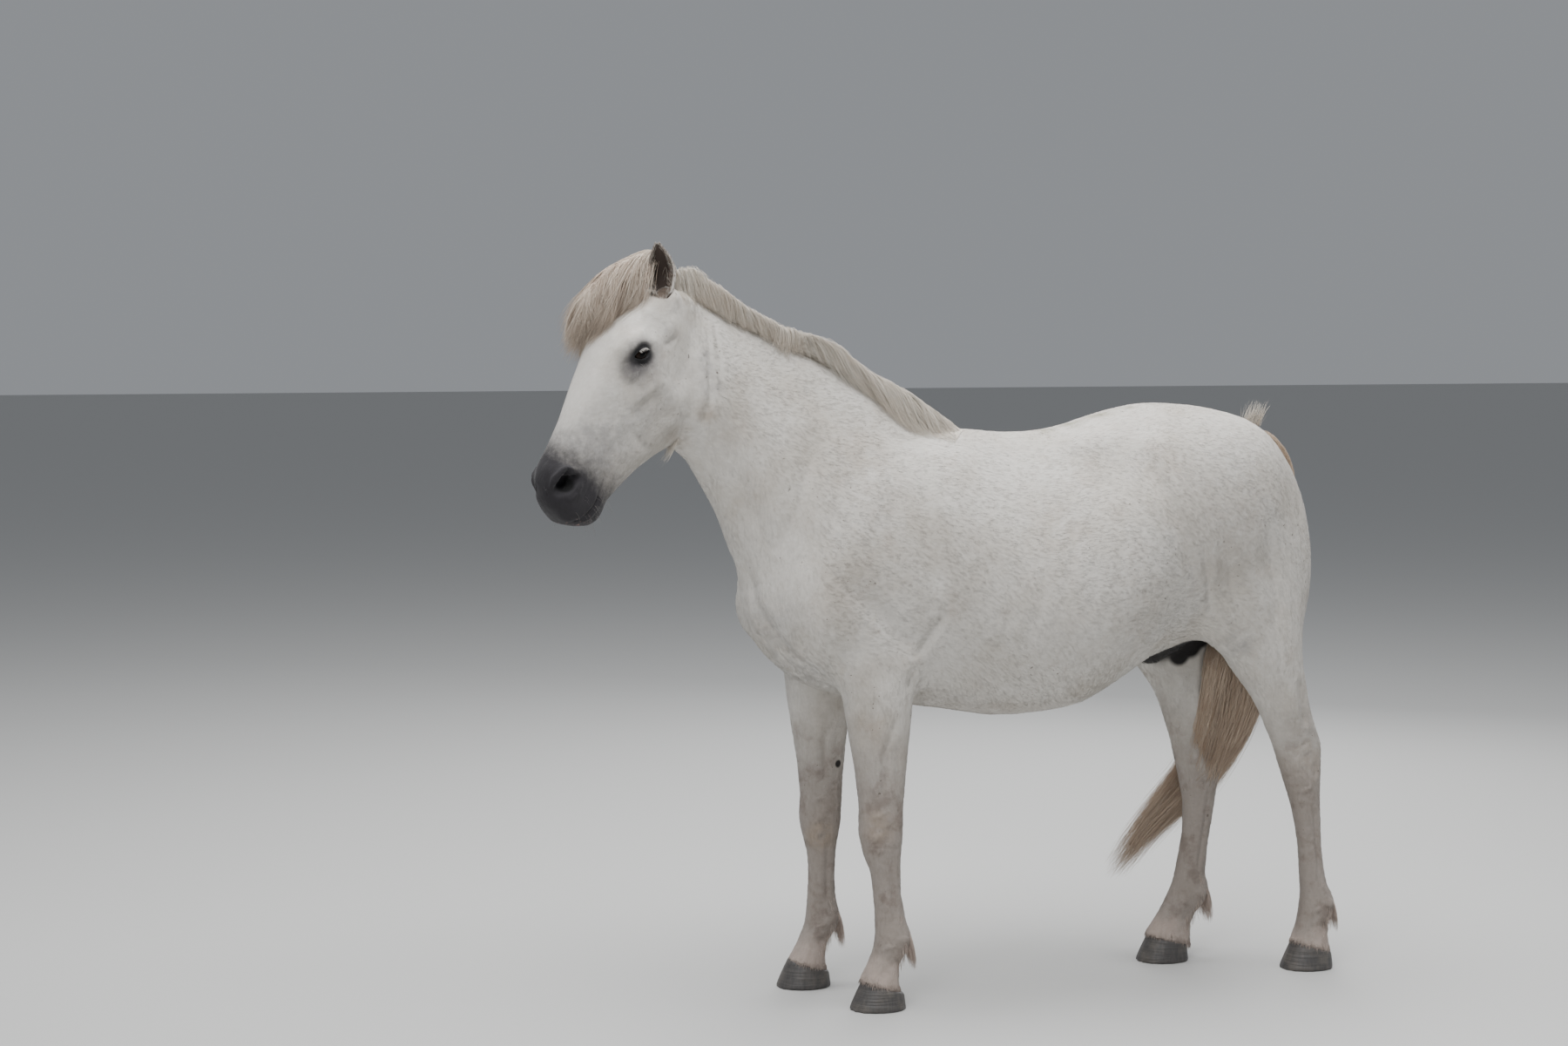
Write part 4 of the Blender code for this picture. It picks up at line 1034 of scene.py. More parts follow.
def build_ear_hair(hide):
    """Fur on the ears' backs and edges, and the hair inside them."""
    gathered = Gathered()
    for side in SIDES:
        for share, inward, count, long in (
            ("back", 0.0, 800, 0.007),
            ("edge", 0.5, 420, 0.007),
            ("notch", 0.5, 260, 0.016),
            ("inside", 1.0, 620, 0.016),
        ):
            t = spread(0.1, 0.97, count) if share != "notch" else spread(-0.16, 0.05, count)
            turn = spread(-1, 1, count)
            if share in ("edge", "notch"):
                turn = np.sign(turn) * (1 - (0.02 if share == "edge" else 0.16) * np.abs(turn))
            if share == "inside":
                turn = np.sign(turn) * (1 - 0.5 * turn * turn)
                t = spread(0.1, 0.85, count)
            places, way, along = ear_surface(side, t, turn, inward)
            facing = np.array(EARS[side][2])
            if share == "back":
                start = along + way * 0.15
            elif share == "notch":
                start = along + facing * 0.3 + random_ways(count, 0.35)
            elif share == "edge":
                start = along * 0.9 + facing * 0.5 + random_ways(count, 0.2)
            else:
                start = facing * 0.8 - way * 0.5 + along * 0.5 + random_ways(count, 0.35)
            gathered.add(places, start, start + along * 0.6, long * spread(0.6, 1.2, count))
        # Hair that hangs over the root of the ear from the poll.
        s = SIDES[side]
        for _ in range(260):
            spot = on_head(s * (0.02 + 0.03 * rng.random()), 0.000 + 0.055 * rng.random(), 0.07)
            found, normal = hide.nearest(spot)
            start = normal * 0.55 + DOWN_FACE * 0.9 + LEFTWARD * (s * 0.25 * rng.random())
            gathered.add(found, start, start - normal * 0.7 - Vector((0, 0, 0.3)), 0.014 + 0.018 * rng.random())
    gathered.lay(hide, "ear_hair", 4, 0.00055, "ear_hair", "coat")


# ---------------------------------------------------------------- hair

PATCH = 0.003  # width of a strand's patch on the unwrap
CHARTS = 36  # six regions of the body, each seen from six ways
CHART_GAP, SPARE_WIDTH, MAP_FILL = 0.02, 1.15, 0.98  # room between charts, beside them and at the map's edge
MOST_TRIANGLES = 190000  # in one piece of hair
HAIR_GAP = 0.0015  # from the skin to long hair
MANE_LOCKS, FORELOCK_LOCKS, TAIL_LOCKS = 90, 60, 70


class Hide:
    """The skin's surface, for placing hair on it, with an unwrap of its own shape."""

    def __init__(self, obj):
        mesh = obj.data
        mesh.calc_loop_triangles()
        self.points, self.faces = points_of(mesh), read(mesh.loop_triangles, "vertices", 3, np.int32)
        self.tree = BVHTree.FromPolygons(self.points.tolist(), self.faces.tolist())
        a, b, c = (self.points[self.faces[:, i]] for i in range(3))
        cross = np.cross(b - a, c - a)
        self.area = np.linalg.norm(cross, axis=1)
        self.normals = cross / (self.area[:, None] + 1e-15)
        self.centres = (a + b + c) / 3
        soft = normals_of(mesh)
        self.near_normals = unit(soft[self.faces].mean(axis=1))
        self.soft_normals = unit(relax(soft, edges_of(mesh), 0.5, 30)[self.faces].mean(axis=1))
        self.unwrap()

    def unwrap(self):
        """Flat charts of the skin, one for each region of the body and each way that it faces."""
        x, y, z = self.centres.T
        region = np.where(z < 0.78, 2 + (x > 0) + 2 * (y > MOVED.y + 0.5), 1)
        head = (self.centres - np.array(on_head(0, 0.25, -0.05))) @ np.array(DOWN_FACE)
        region = np.where((head > -0.28) & (y < MOVED.y - 0.36) & (z > 1.1), 0, region)
        axis = np.abs(self.normals).argmax(axis=1)
        sign = np.take_along_axis(self.normals, axis[:, None], 1)[:, 0] > 0
        self.chart = region * 6 + axis * 2 + sign
        self.flat_axes = np.array([(1, 2), (0, 2), (0, 1)])
        sizes, lows = np.zeros((CHARTS, 2)), np.zeros((CHARTS, 2))
        for chart in range(CHARTS):
            chosen = self.points[self.faces[self.chart == chart].ravel()]
            if len(chosen):
                flat = chosen[:, self.flat_axes[chart % 6 // 2]]
                lows[chart], sizes[chart] = flat.min(axis=0), np.ptp(flat, axis=0) + CHART_GAP
        order = np.argsort(-sizes[:, 1])
        wide = math.sqrt((sizes[:, 0] * sizes[:, 1]).sum()) * SPARE_WIDTH
        at, shelf, height = 0.0, 0.0, 0.0
        corner = np.zeros((CHARTS, 2))
        for chart in order:
            if at + sizes[chart, 0] > wide:
                at, shelf, height = 0.0, shelf + height, 0.0
            corner[chart] = at, shelf
            at += sizes[chart, 0]
            height = max(height, sizes[chart, 1])
        self.chart_move, self.chart_scale = corner - lows, MAP_FILL / max(wide, shelf + height)

    def on_unwrap(self, points, faces):
        chart = self.chart[faces]
        axes = self.flat_axes[chart % 6 // 2]
        flat = np.take_along_axis(points, axes, axis=1)
        return (flat + self.chart_move[chart]) * self.chart_scale

    def scatter(self, count, weight):
        """Random places on the surface, more where the weight is higher: points, normals and faces."""
        share = self.area * weight
        face = rng.choice(len(share), count, p=share / share.sum())
        u, v = rng.random(count), rng.random(count)
        over = u + v > 1
        u[over], v[over] = 1 - u[over], 1 - v[over]
        a, b, c = (self.points[self.faces[face, i]] for i in range(3))
        return a + u[:, None] * (b - a) + v[:, None] * (c - a), self.soft_normals[face], face

    def roots(self, points):
        """Where the nearest places of the skin are on the unwrap."""
        found = [self.tree.find_nearest(Vector(point)) for point in points]
        places, faces = np.array([item[0] for item in found]), np.array([item[2] for item in found])
        return self.on_unwrap(places, faces)

    def nearest(self, spot):
        found, normal, _, _ = self.tree.find_nearest(spot)
        return found, normal

    def keep_out(self, paths, gap):
        """Moves the points of the paths out of the skin."""
        flat = paths.reshape(-1, 3)
        for i, point in enumerate(flat):
            found, normal = self.nearest(Vector(point))
            height = (Vector(point) - found).dot(normal)
            if height < gap:
                flat[i] = point + np.array(normal) * (gap - height)
        return flat.reshape(paths.shape)


def strands_object(name, paths, radius, facing, roots, flat):
    """Thin three-sided closed strands. paths and facing are strands x stops x 3, radius strands x stops."""
    strands, stops, _ = paths.shape
    run = unit(np.gradient(paths, axis=1))
    across = unit(np.cross(run, np.broadcast_to(facing, paths.shape)))
    lift = np.cross(across, run)
    points = np.empty((strands, stops, 3, 3))
    for corner, turn in enumerate((math.pi / 2, math.pi * 7 / 6, math.pi * 11 / 6)):
        way = across * math.cos(turn) + lift * (math.sin(turn) * flat)
        points[:, :, corner] = paths + way * radius[:, :, None]
    number = np.arange(strands * stops * 3).reshape(strands, stops, 3)
    ends = np.concatenate([number[:, 0, ::-1], number[:, -1]])
    mesh = mesh_from(name, points.reshape(-1, 3), [quads_between(number[:, :-1], number[:, 1:], 2), ends])
    corner = np.tile(np.array([0.0, 0.5, 1.0]), strands * stops)
    stop = np.tile(np.repeat(np.linspace(0, 1, stops), 3), strands)
    add_map(mesh, np.repeat(roots, stops * 3, axis=0) + np.stack([corner, stop], axis=1) * PATCH)
    mesh.shade_smooth()
    return new_object(name, mesh)


def add_map(mesh, uv):
    """The UV map for baking, from one place for each point."""
    layer = mesh.uv_layers.new(name="OFBake")
    index = read(mesh.loops, "vertex_index", 1, np.int32).ravel()
    layer.data.foreach_set("uv", uv[index].ravel())


# The corners of a short tuft: left and right at its root, its ridge and its tip. Its root is sunk in the skin.
TUFT_SUNK, TUFT_RIDGE = 0.0005, 0.35
TUFT_FACES = ((0, 1, 2), (0, 2, 3), (2, 1, 3), (1, 0, 3))
TUFT_ON_PATCH = np.array([(0, 0), (1, 0), (0.5, 0.4), (0.5, 1)])
TUFT_LEAN = np.array([-0.35, 0.35, 0, 0])


def tufts_object(name, roots, ways, normals, lengths, widths, lifts, places):
    """Short closed blades of hair of four corners each, which catch the light as the skin under them does."""
    across = np.cross(ways, normals)
    base = roots - normals * TUFT_SUNK
    ridge = roots + ways * (lengths * TUFT_RIDGE)[:, None] + normals * (lengths * lifts * 0.6 + 0.0002)[:, None]
    tip = roots + ways * lengths[:, None] + normals * (lengths * lifts)[:, None]
    points = np.stack([base - across * widths[:, None], base + across * widths[:, None], ridge, tip], axis=1)
    number = np.arange(len(roots) * 4).reshape(-1, 4)
    faces = np.concatenate([number[:, corners] for corners in TUFT_FACES])
    mesh = mesh_from(name, points.reshape(-1, 3), [faces])
    add_map(mesh, (places[:, None] + TUFT_ON_PATCH * PATCH).reshape(-1, 2))
    mesh.shade_smooth()
    shown = unit(normals[:, None] + across[:, None] * TUFT_LEAN[:, None])
    mesh.normals_split_custom_set_from_vertices(shown.reshape(-1, 3).tolist())
    return new_object(name, mesh)


def spread(low, high, count):
    return low + (high - low) * rng.random(count)


def eased(t, end):
    """From 0 to 1 as t goes from 0 to the end, slower towards it."""
    return np.sin(np.clip(t / end, 0, 1) * math.pi / 2)


def beyond(t, start):
    """How far t is past a start, as a column for each axis."""
    return np.clip(t - start, 0, 1)[..., None]


def of_locks(lock, locks):
    """Six random numbers for each lock, given to each of its strands."""
    return rng.random((locks, 6))[lock].T[..., None]


def taper(strands, stops, thickness):
    t = np.linspace(0, 1, stops)
    shape = np.minimum(1, 0.45 + t * 5) * (1 - 0.92 * t**3)
    return thickness * spread(0.7, 1.3, strands)[:, None] * shape[None, :]


# Crest and underline of the neck, from the trunk (0) to the head (1), as in the solids.
CREST_Y = curve("0 .32, .25 .13, .5 -.06, .75 -.235, 1 -.385")
CREST_Z = curve("0 1.375, .25 1.48, .5 1.582, .75 1.655, 1 1.722")
THROAT_Y = curve("0 -.2, .3 -.262, .6 -.3, 1 -.385")
THROAT_Z = curve("0 .87, .3 1.04, .6 1.155, 1 1.315")
NECK_HALF_WIDTH = curve("0 .19, .25 .15, .5 .115, .75 .092, 1 .08")
NECK_BEND = curve("0 0, .4 .002, .75 .012, 1 .034")
NECK_TURN = curve("0 0, .4 .03, 1 .3")
NECK_WIDEST = curve("0 .6, .5 .66, 1 .62")
NECK_FULLNESS = curve("0 1.15, .5 1.15, 1 1.05")
# The mane's length to each side, how far it stands off the neck, and how high it rises over the crest.
MANE_RIGHT = curve("0 .06, .12 .14, .35 .2, .7 .22, .9 .16, 1 .09")
MANE_LEFT = curve("0 .02, .15 .055, .35 .055, .5 .034, .62 .04, .8 .034, 1 .03")
MANE_THICKNESS = curve("0 .026, .2 .044, .5 .044, .85 .038, 1 .03")
MANE_RISE = curve("0 .004, .08 .02, .28 .034, .37 .024, .46 .052, .56 .034, .65 .03, .82 .042, 1 .082")


def on_neck(s, fall, side, lift, up):
    """Places beside the neck's crest, and the way out from it there. All are arrays of one shape."""
    past, s = np.maximum(s - 1, 0), np.clip(s, 0, 1)
    ahead = np.array(FORWARD) * (past * 0.55)[..., None]
    across = unit(np.stack([np.ones_like(s), NECK_TURN(s), np.zeros_like(s)], axis=-1))
    crest, throat = (
        np.stack([NECK_BEND(s), y(s), z(s)], axis=-1) + ahead + np.array(MOVED)
        for y, z in ((CREST_Y, CREST_Z), (THROAT_Y, THROAT_Z))
    )
    depth = np.linalg.norm(throat - crest, axis=-1)
    down = (throat - crest) / depth[..., None]
    share = np.clip(fall / depth, 1e-6, 1) ** (math.log(0.5) / np.log(NECK_WIDEST(s)))
    spread_out = (4 * share * (1 - share)) ** (NECK_FULLNESS(s) / 2)
    beside = side * (NECK_HALF_WIDTH(s) * spread_out + lift)
    place_there = crest + down * (fall - up)[..., None] + across * beside[..., None]
    turned = np.clip(fall / 0.05, 0, 1) * side
    return place_there, unit(across * turned[..., None] - down * (1.05 - np.abs(turned))[..., None])


def mane_locks(side, count, stops):
    """Strands from the crest over to one side, gathered in locks."""
    left = side == LEFT
    s = spread(0.035, 1.17, count)
    edges = np.sort(spread(0, 1.2, MANE_LOCKS - 1))
    own = of_locks(np.searchsorted(edges, s + (rng.random(count) - 0.5) * 0.03), MANE_LOCKS)
    layer = rng.random(count)[:, None] ** 0.6
    reach = (MANE_LEFT if left else MANE_RIGHT)(np.clip(s, 0, 1))
    length = (reach * (0.62 + 0.62 * own[0][:, 0]) * (1.15 - 0.65 * rng.random(count) ** 2))[:, None]
    t = np.linspace(0, 1, stops)[None, :]
    blown = 0.05 + 0.13 * step_between(0.62 - s, 0, 0.15)[:, None]
    backward = (blown if left else 0.04) + (0.1 if left else 0.05) * (own[1] - 0.4)
    wave = 0.018 * (own[2] - 0.5) * np.sin(t * (5 + 4 * own[3]) + 6.3 * own[4])
    place_s = s[:, None] - backward * t**1.4 + wave * t - 0.012 * t * (own[5] - 0.5)
    place_s += (rng.random(count)[:, None] - 0.5) * (0.012 + 0.03 * t)
    place_s = np.clip(place_s, 0.015, 1.19)
    here = np.clip(place_s, 0, 1)
    thick = MANE_THICKNESS(here) * (0.35 + 0.65 * layer)
    rise = MANE_RISE(here) * (0.45 + 0.55 * layer) * (0.84 + 0.26 * own[3])
    over = np.clip(t / 0.22, 0, 1)
    fall = np.clip(t - 0.1, 0, None) / 0.9 * length
    root_up = rise * (0.32 + 0.68 * eased(t, 0.22))
    up = root_up * np.clip(1 - (fall / np.minimum(0.055, length * 0.95)) ** 1.5, 0, 1)
    # How much of its thickness the mane loses, from where along the strands, and how far each lock sways.
    settled, settling, share, sway = (0.92, 0.3, 0.55, 0.002) if left else (0.75, 0.6, 1.0, 0.006)
    profile = eased(t, 0.22) * (1 - settled * step_between(t, settling, 1.0))
    start = (rng.random(count)[:, None] - 0.5) * 0.03 * (1 - over)
    lift = thick * share * profile + start * side + sway * np.sin(t * 7 + 6.3 * own[3]) * t * own[2]
    paths, outward = on_neck(place_s, fall, side, lift, up)
    for _ in range(3):
        paths[:, 1:-1] = (paths[:, :-2] + 2 * paths[:, 1:-1] + paths[:, 2:]) / 4
    return paths + beyond(t, 0.7) * (rng.random((count, 1, 3)) - 0.5) * 0.03, outward


# The forelock from the poll to its tips: to the left, along the head, top, bottom and half width, in millimetres.
FORELOCK = smooth_table(
    """
    0 -80 70 -10 36
    0 -30 108 10 46
    -12 35 142 20 58
    -34 95 158 35 64
    -56 145 158 50 60
    -72 185 148 60 48
    -82 220 132 70 32
    -88 248 112 80 10
    """
)


def forelock_locks(count, stops):
    """Strands that fan out from the poll over the forehead."""
    t = np.linspace(0, 1, stops)[None, :]
    lock = rng.integers(0, FORELOCK_LOCKS, count)
    own = of_locks(lock, FORELOCK_LOCKS)
    begin = 0.5 * own[0] ** 1.1 + spread(-0.03, 0.03, count)[:, None]
    run = 0.36 + 0.24 * own[1] + spread(-0.05, 0.05, count)[:, None]
    end = np.minimum(begin + run, 1.03)
    reached = begin + (end - begin) * t
    left, along, top, bottom, half = FORELOCK(np.clip(reached, 0, 1))
    begin_turn = math.pi * (0.62 - 0.25 * own[2]) + spread(-0.2, 0.2, count)[:, None]
    # Three locks in four fall to the left of the face, the others to the right.
    end_turn = np.where(own[3] < 0.74, -1.15 + 2.2 * own[4], 2.2 + 1.2 * own[4])
    end_turn = end_turn + spread(-0.12, 0.12, count)[:, None]
    turn = begin_turn + (end_turn - begin_turn) * t**1.25
    layer = 1 - 0.45 * rng.random((count, 1)) ** 1.5
    layer = layer * (0.55 + 0.45 * eased(t, 0.25)) * (0.84 + 0.22 * own[5])
    height = (top + bottom) / 2 + (top - bottom) / 2 * np.sin(turn) * layer
    along = along - 0.3 * (height - 0.1) + np.clip(reached - 1, 0, 1) * 0.12
    paths = all_on_head(left + half * np.cos(turn) * layer, along, height)
    paths = paths + beyond(t, 0.5) ** 1.5 * (rng.random((count, 1, 3)) - 0.5) * 0.09
    strayed = rng.random((FORELOCK_LOCKS, 1, 3))[lock] - 0.5
    paths = paths + beyond(t, 0.35) ** 1.4 * strayed * 0.11
    paths[..., 2] -= 0.03 * np.clip(t - 0.5, 0, 1) ** 2
    return paths, unit(np.cos(turn)[..., None] * np.array(LEFTWARD) + np.sin(turn)[..., None] * np.array(OUTWARD))


# The tail from the dock to its tip: place, then half thickness across and along the body.
TAIL = smooth_table(
    """
    0 1095 1372 26 28
    0 1160 1335 36 34
    -4 1200 1240 44 38
    -12 1205 1090 52 46
    -16 1165 940 56 82
    -22 1100 790 54 108
    -66 1085 640 62 96
    -132 1055 500 56 68
    -180 980 390 38 46
    -195 905 305 22 26
    -200 855 240 6 8
    """
)


def round_tail(here, angle, layer):
    """Places round the tail's middle line, and the way out from it there."""
    here = here + 0 * angle
    x, y, z, across, along = TAIL(np.clip(here, 0, 1))
    ahead, behind = TAIL(np.clip(here + 0.01, 0, 1)), TAIL(np.clip(here - 0.01, 0, 1))
    run = unit(np.stack([a - b for a, b in zip(ahead[:3], behind[:3])], axis=-1))
    side_way = unit(np.array([1.0, 0, 0]) - run * run[..., :1])
    out = np.cross(run, side_way)
    middle_line = np.stack([x, y, z], axis=-1) + np.array(MOVED)
    way = side_way * (np.cos(angle) * across)[..., None] + out * (np.sin(angle) * along)[..., None]
    return middle_line + way * (layer + 0 * angle)[..., None], unit(way)


def tail_locks(count, stops):
    """Strands from the dock down to the tail's tip."""
    t = np.linspace(0, 1, stops)[None, :]
    own = of_locks(rng.integers(0, TAIL_LOCKS, count), TAIL_LOCKS)
    begin = 0.3 * rng.random((count, 1))
    end = np.minimum(0.7 + 0.36 * own[1] + spread(-0.06, 0.03, count)[:, None], 1.03)
    here = begin + (end - begin) * t
    angle = own[0] * 2 * math.pi + spread(-0.35, 0.35, count)[:, None] * (1 - 0.4 * t)
    angle = angle + (own[2] - 0.5) * t + 0.12 * np.sin(t * 9 + own[3] * 6)
    layer = (0.55 + 0.45 * rng.random((count, 1)) ** 0.5) * (0.25 + 0.75 * eased(t, 0.12))
    paths, outward = round_tail(here, angle, layer * (1 - 0.15 * t))
    past = np.clip(here - 1, 0, 1)
    paths[..., 1] -= past * 0.6
    paths[..., 2] -= past * 0.5
    paths += beyond(t, 0.5) ** 1.5 * (rng.random((count, 1, 3)) - 0.5) * 0.16
    return paths, outward


def lay_strands(hide, name, paths, outward, thickness, look, slot="long_hair", flat=0.6):
    """Makes the strands' mesh pieces, none over the most triangles."""
    count, stops, _ = paths.shape
    radius = taper(count, stops, thickness)
    roots = hide.roots(paths[:, 0])
    most = MOST_TRIANGLES // ((stops - 1) * 6 + 2)
    parts = [slice(i, i + most) for i in range(0, count, most)]
    for i, part in enumerate(parts):
        label = f"{name}_{i + 1}" if len(parts) > 1 else name
        obj = strands_object(label, paths[part], radius[part], outward[part], roots[part], flat)
        dressed(obj, look, slot)


def build_long_hair(hide):
    for name, look, thickness, locks in (
        ("mane_hair_left", "mane", 0.00058, lambda: mane_locks(LEFT, 3300, 9)),
        ("mane_hair_right", "mane", 0.00058, lambda: mane_locks(RIGHT, 3200, 9)),
        ("forelock_hair", "forelock", 0.0006, lambda: forelock_locks(3900, 8)),
        ("tail_hair", "tail", 0.0008, lambda: tail_locks(2700, 14)),
    ):
        paths, outward = locks()
        lay_strands(hide, name, hide.keep_out(paths, HAIR_GAP), outward, thickness, look)
    for node, rings in (("mane", mane_rings()), ("forelock", forelock_rings()), ("tail", tail_rings())):
        obj = ringed_body(f"{node}_core", rings)
        dressed(obj, f"{node}_core", "long_hair", node)


ROUND = np.linspace(0, 2 * math.pi, 18, endpoint=False)[None, :]


def mane_rings():
    """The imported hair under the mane's strands, close to the neck at its edges."""
    s = np.linspace(0.04, 1.15, 60)[:, None]
    here = np.clip(s, 0, 1)
    edge = np.linspace(0, 1, 9)[None, :]
    rings = []
    for side, reach, share in ((LEFT, MANE_LEFT(here) * 0.2, 0.05), (RIGHT, MANE_RIGHT(here) * 0.8, 0.5)):
        fall = reach * (1 - edge)
        lift = MANE_THICKNESS(here) * share * np.sin(edge * math.pi * 0.75) - 0.006
        up = MANE_RISE(here) * 0.12 * np.clip(1 - fall / 0.05, 0, 1)
        crest = 0.003 if side == LEFT else 0.008
        lift = lift * np.clip(fall / 0.02, 0, 1) + crest * (1 - np.clip(fall / 0.02, 0, 1))
        outer, _ = on_neck(s + 0 * edge, fall, side, lift, up)
        rings.append(outer if side == LEFT else outer[:, ::-1])
    under, _ = on_neck(s, 0 * s + 0.03, LEFT, 0 * s - NECK_HALF_WIDTH(here) * 0.5, 0 * s)
    return np.concatenate(rings + [under], axis=1)


def forelock_rings():
    left, along, top, bottom, half = (value[:, None] for value in FORELOCK(np.linspace(0.16, 0.84, 30)))
    narrow = [np.minimum(1, np.linspace(*ends, 30))[:, None] for ends in ((0.3, 2.6), (2.4, 0.5))]
    share = 0.52 * narrow[0] * narrow[1]
    height = (top + bottom) / 2 + (top - bottom) / 2 * np.sin(ROUND) * share
    return all_on_head(left + half * np.cos(ROUND) * share, along - 0.3 * (height - 0.1), height)


def tail_rings():
    return round_tail(np.linspace(0.02, 0.94, 60)[:, None], ROUND, 0.66)[0]


def lay_short(hide, name, roots, ways, lengths, bends, stops, thickness, look, slot, flat=0.6):
    """Short strands from given roots, each bending from one way to another."""
    t = np.linspace(0, 1, stops)[None, :, None]
    step = lengths[:, None, None] / (stops - 1)
    heading = unit(ways[:, None, :] * (1 - t) + bends[:, None, :] * t)
    run = np.cumsum(heading * step, axis=1) - heading[:, :1] * step
    paths = roots[:, None, :] + run
    ways, bends = unit(ways), unit(bends)
    outward = np.repeat(unit(np.cross(np.cross(ways, bends) + 1e-5, ways))[:, None, :], stops, axis=1)
    lay_strands(hide, name, paths, outward, thickness, look, slot, flat)


class Gathered:
    """Short strands being gathered: each one's root, the ways that it starts and ends in, and its length."""

    def __init__(self):
        self.rows = []

    def add(self, roots, ways, bends, lengths):
        """One strand or an array of them."""
        parts = [np.atleast_2d(np.array(part, float)) for part in (roots, ways, bends)]
        self.rows.append(np.concatenate([*parts, np.reshape(lengths, (-1, 1))], axis=1))

    def lay(self, hide, name, stops, thickness, look, slot, flat=0.6, even=True):
        """Makes the piece, with starting and ending ways of even weight unless told otherwise."""
        rows = np.concatenate(self.rows)
        ways, bends = (unit(part) if even else part for part in (rows[:, 3:6], rows[:, 6:9]))
        lay_short(hide, name, rows[:, :3], ways, rows[:, 9], bends, stops, thickness, look, slot, flat)


def random_ways(count, spread_out):
    return (rng.random((count, 3)) - 0.5) * 2 * spread_out


def lie_of_coat(points, normals):
    """The way that the short hair lies at each place."""
    local = points - np.array(MOVED)
    x, y, z = local.T
    along = down_face(points)
    head = step_between(-y, 0.36, 0.44) * step_between(z, 1.1, 1.16) * step_between(along, -0.03, 0.03)
    leg = step_between(-z, -0.95, -0.7)
    front = step_between(-y, 0.02, 0.16) * (1 - step_between(z, 1.35, 1.5)) * step_between(-normals[:, 1], -0.2, 0.7)
    way = np.stack([0.0 * x, np.ones_like(x), -0.35 - 0.25 * step_between(y, 0.8, 1.1)], axis=-1)
    down = np.array([0.0, 0.12, -1.0])
    rump = step_between(y, 1.0, 1.2)
    for share, other in ((np.maximum(front, rump * 0.8), down), (leg, down), (head, np.array(DOWN_FACE))):
        way = way * (1 - share)[:, None] + other * share[:, None]
    way = way + 0.25 * np.sin(local @ np.array([[9, 5, 4], [6, 8, 5], [5, 7, 9.0]]) * 1.5)
    way = way - normals * (way * normals).sum(axis=1)[:, None]
    return unit(way)


def off_limits(points):
    """1 where short fur grows, 0 on the eyes and nostrils."""
    keep = np.ones(len(points))
    for side in SIDES:
        rear, up, _ = (np.array(axis) for axis in eye_axes(side))
        local = points - np.array(EYES[side])
        keep *= step_between(np.hypot((local @ rear) / 1.35, local @ up), 0.013, 0.022)
        keep *= step_between(far(points, on_head(SIDES[side] * 0.046, 0.562, 0.004)), 0.014, 0.02)
    return keep


def build_coat(hide):
    """Short flat tufts all over, closest on the face and feet."""
    points = hide.centres
    along = down_face(points)
    y, z = points[:, 1] - MOVED.y, points[:, 2]
    head = (y < -0.36) & (z > 1.1) & (along > -0.05)
    legs = z < 0.72
    body = ~head & ~legs
    keep = off_limits(points)
    for name, where, count, length, width in (
        ("coat_body_1", body, 38000, 0.017, 0.00085),
        ("coat_body_2", body, 38000, 0.014, 0.00075),
        ("coat_legs", legs & (z > 0.03), 30000, 0.012, 0.0006),
        ("coat_head", head, 38000, 0.0075, 0.0004),
    ):
        roots, lie_normals, faces = hide.scatter(count, where * keep)
        normals = hide.near_normals[faces]
        muzzle = step_between(down_face(roots), 0.42, 0.56) * (name == "coat_head")
        size = length * spread(0.7, 1.25, count) * (1 - 0.6 * muzzle)
        near_eye = np.minimum(*(far(roots, EYES[side]) for side in SIDES))
        size *= 0.4 + 0.6 * step_between(near_eye, 0.02, 0.06)
        under = step_between(-normals[:, 2], 0.3, 0.9) * (name[:9] == "coat_body")
        lift = 0.03 + 0.05 * rng.random(count) + 0.1 * under
        way = lie_of_coat(roots, lie_normals)
        way = way + np.cross(normals, way) * (rng.random((count, 1)) - 0.5) * 0.5
        way = unit(way - normals * (way * normals).sum(axis=1)[:, None])
        width = width * spread(0.7, 1.3, count) * (1 - 0.4 * muzzle)
        obj = tufts_object(name, roots, way, normals, size, width, lift, hide.on_unwrap(roots, faces))
        dressed(obj, "fur", "leg_coat" if name == "coat_legs" else "coat")


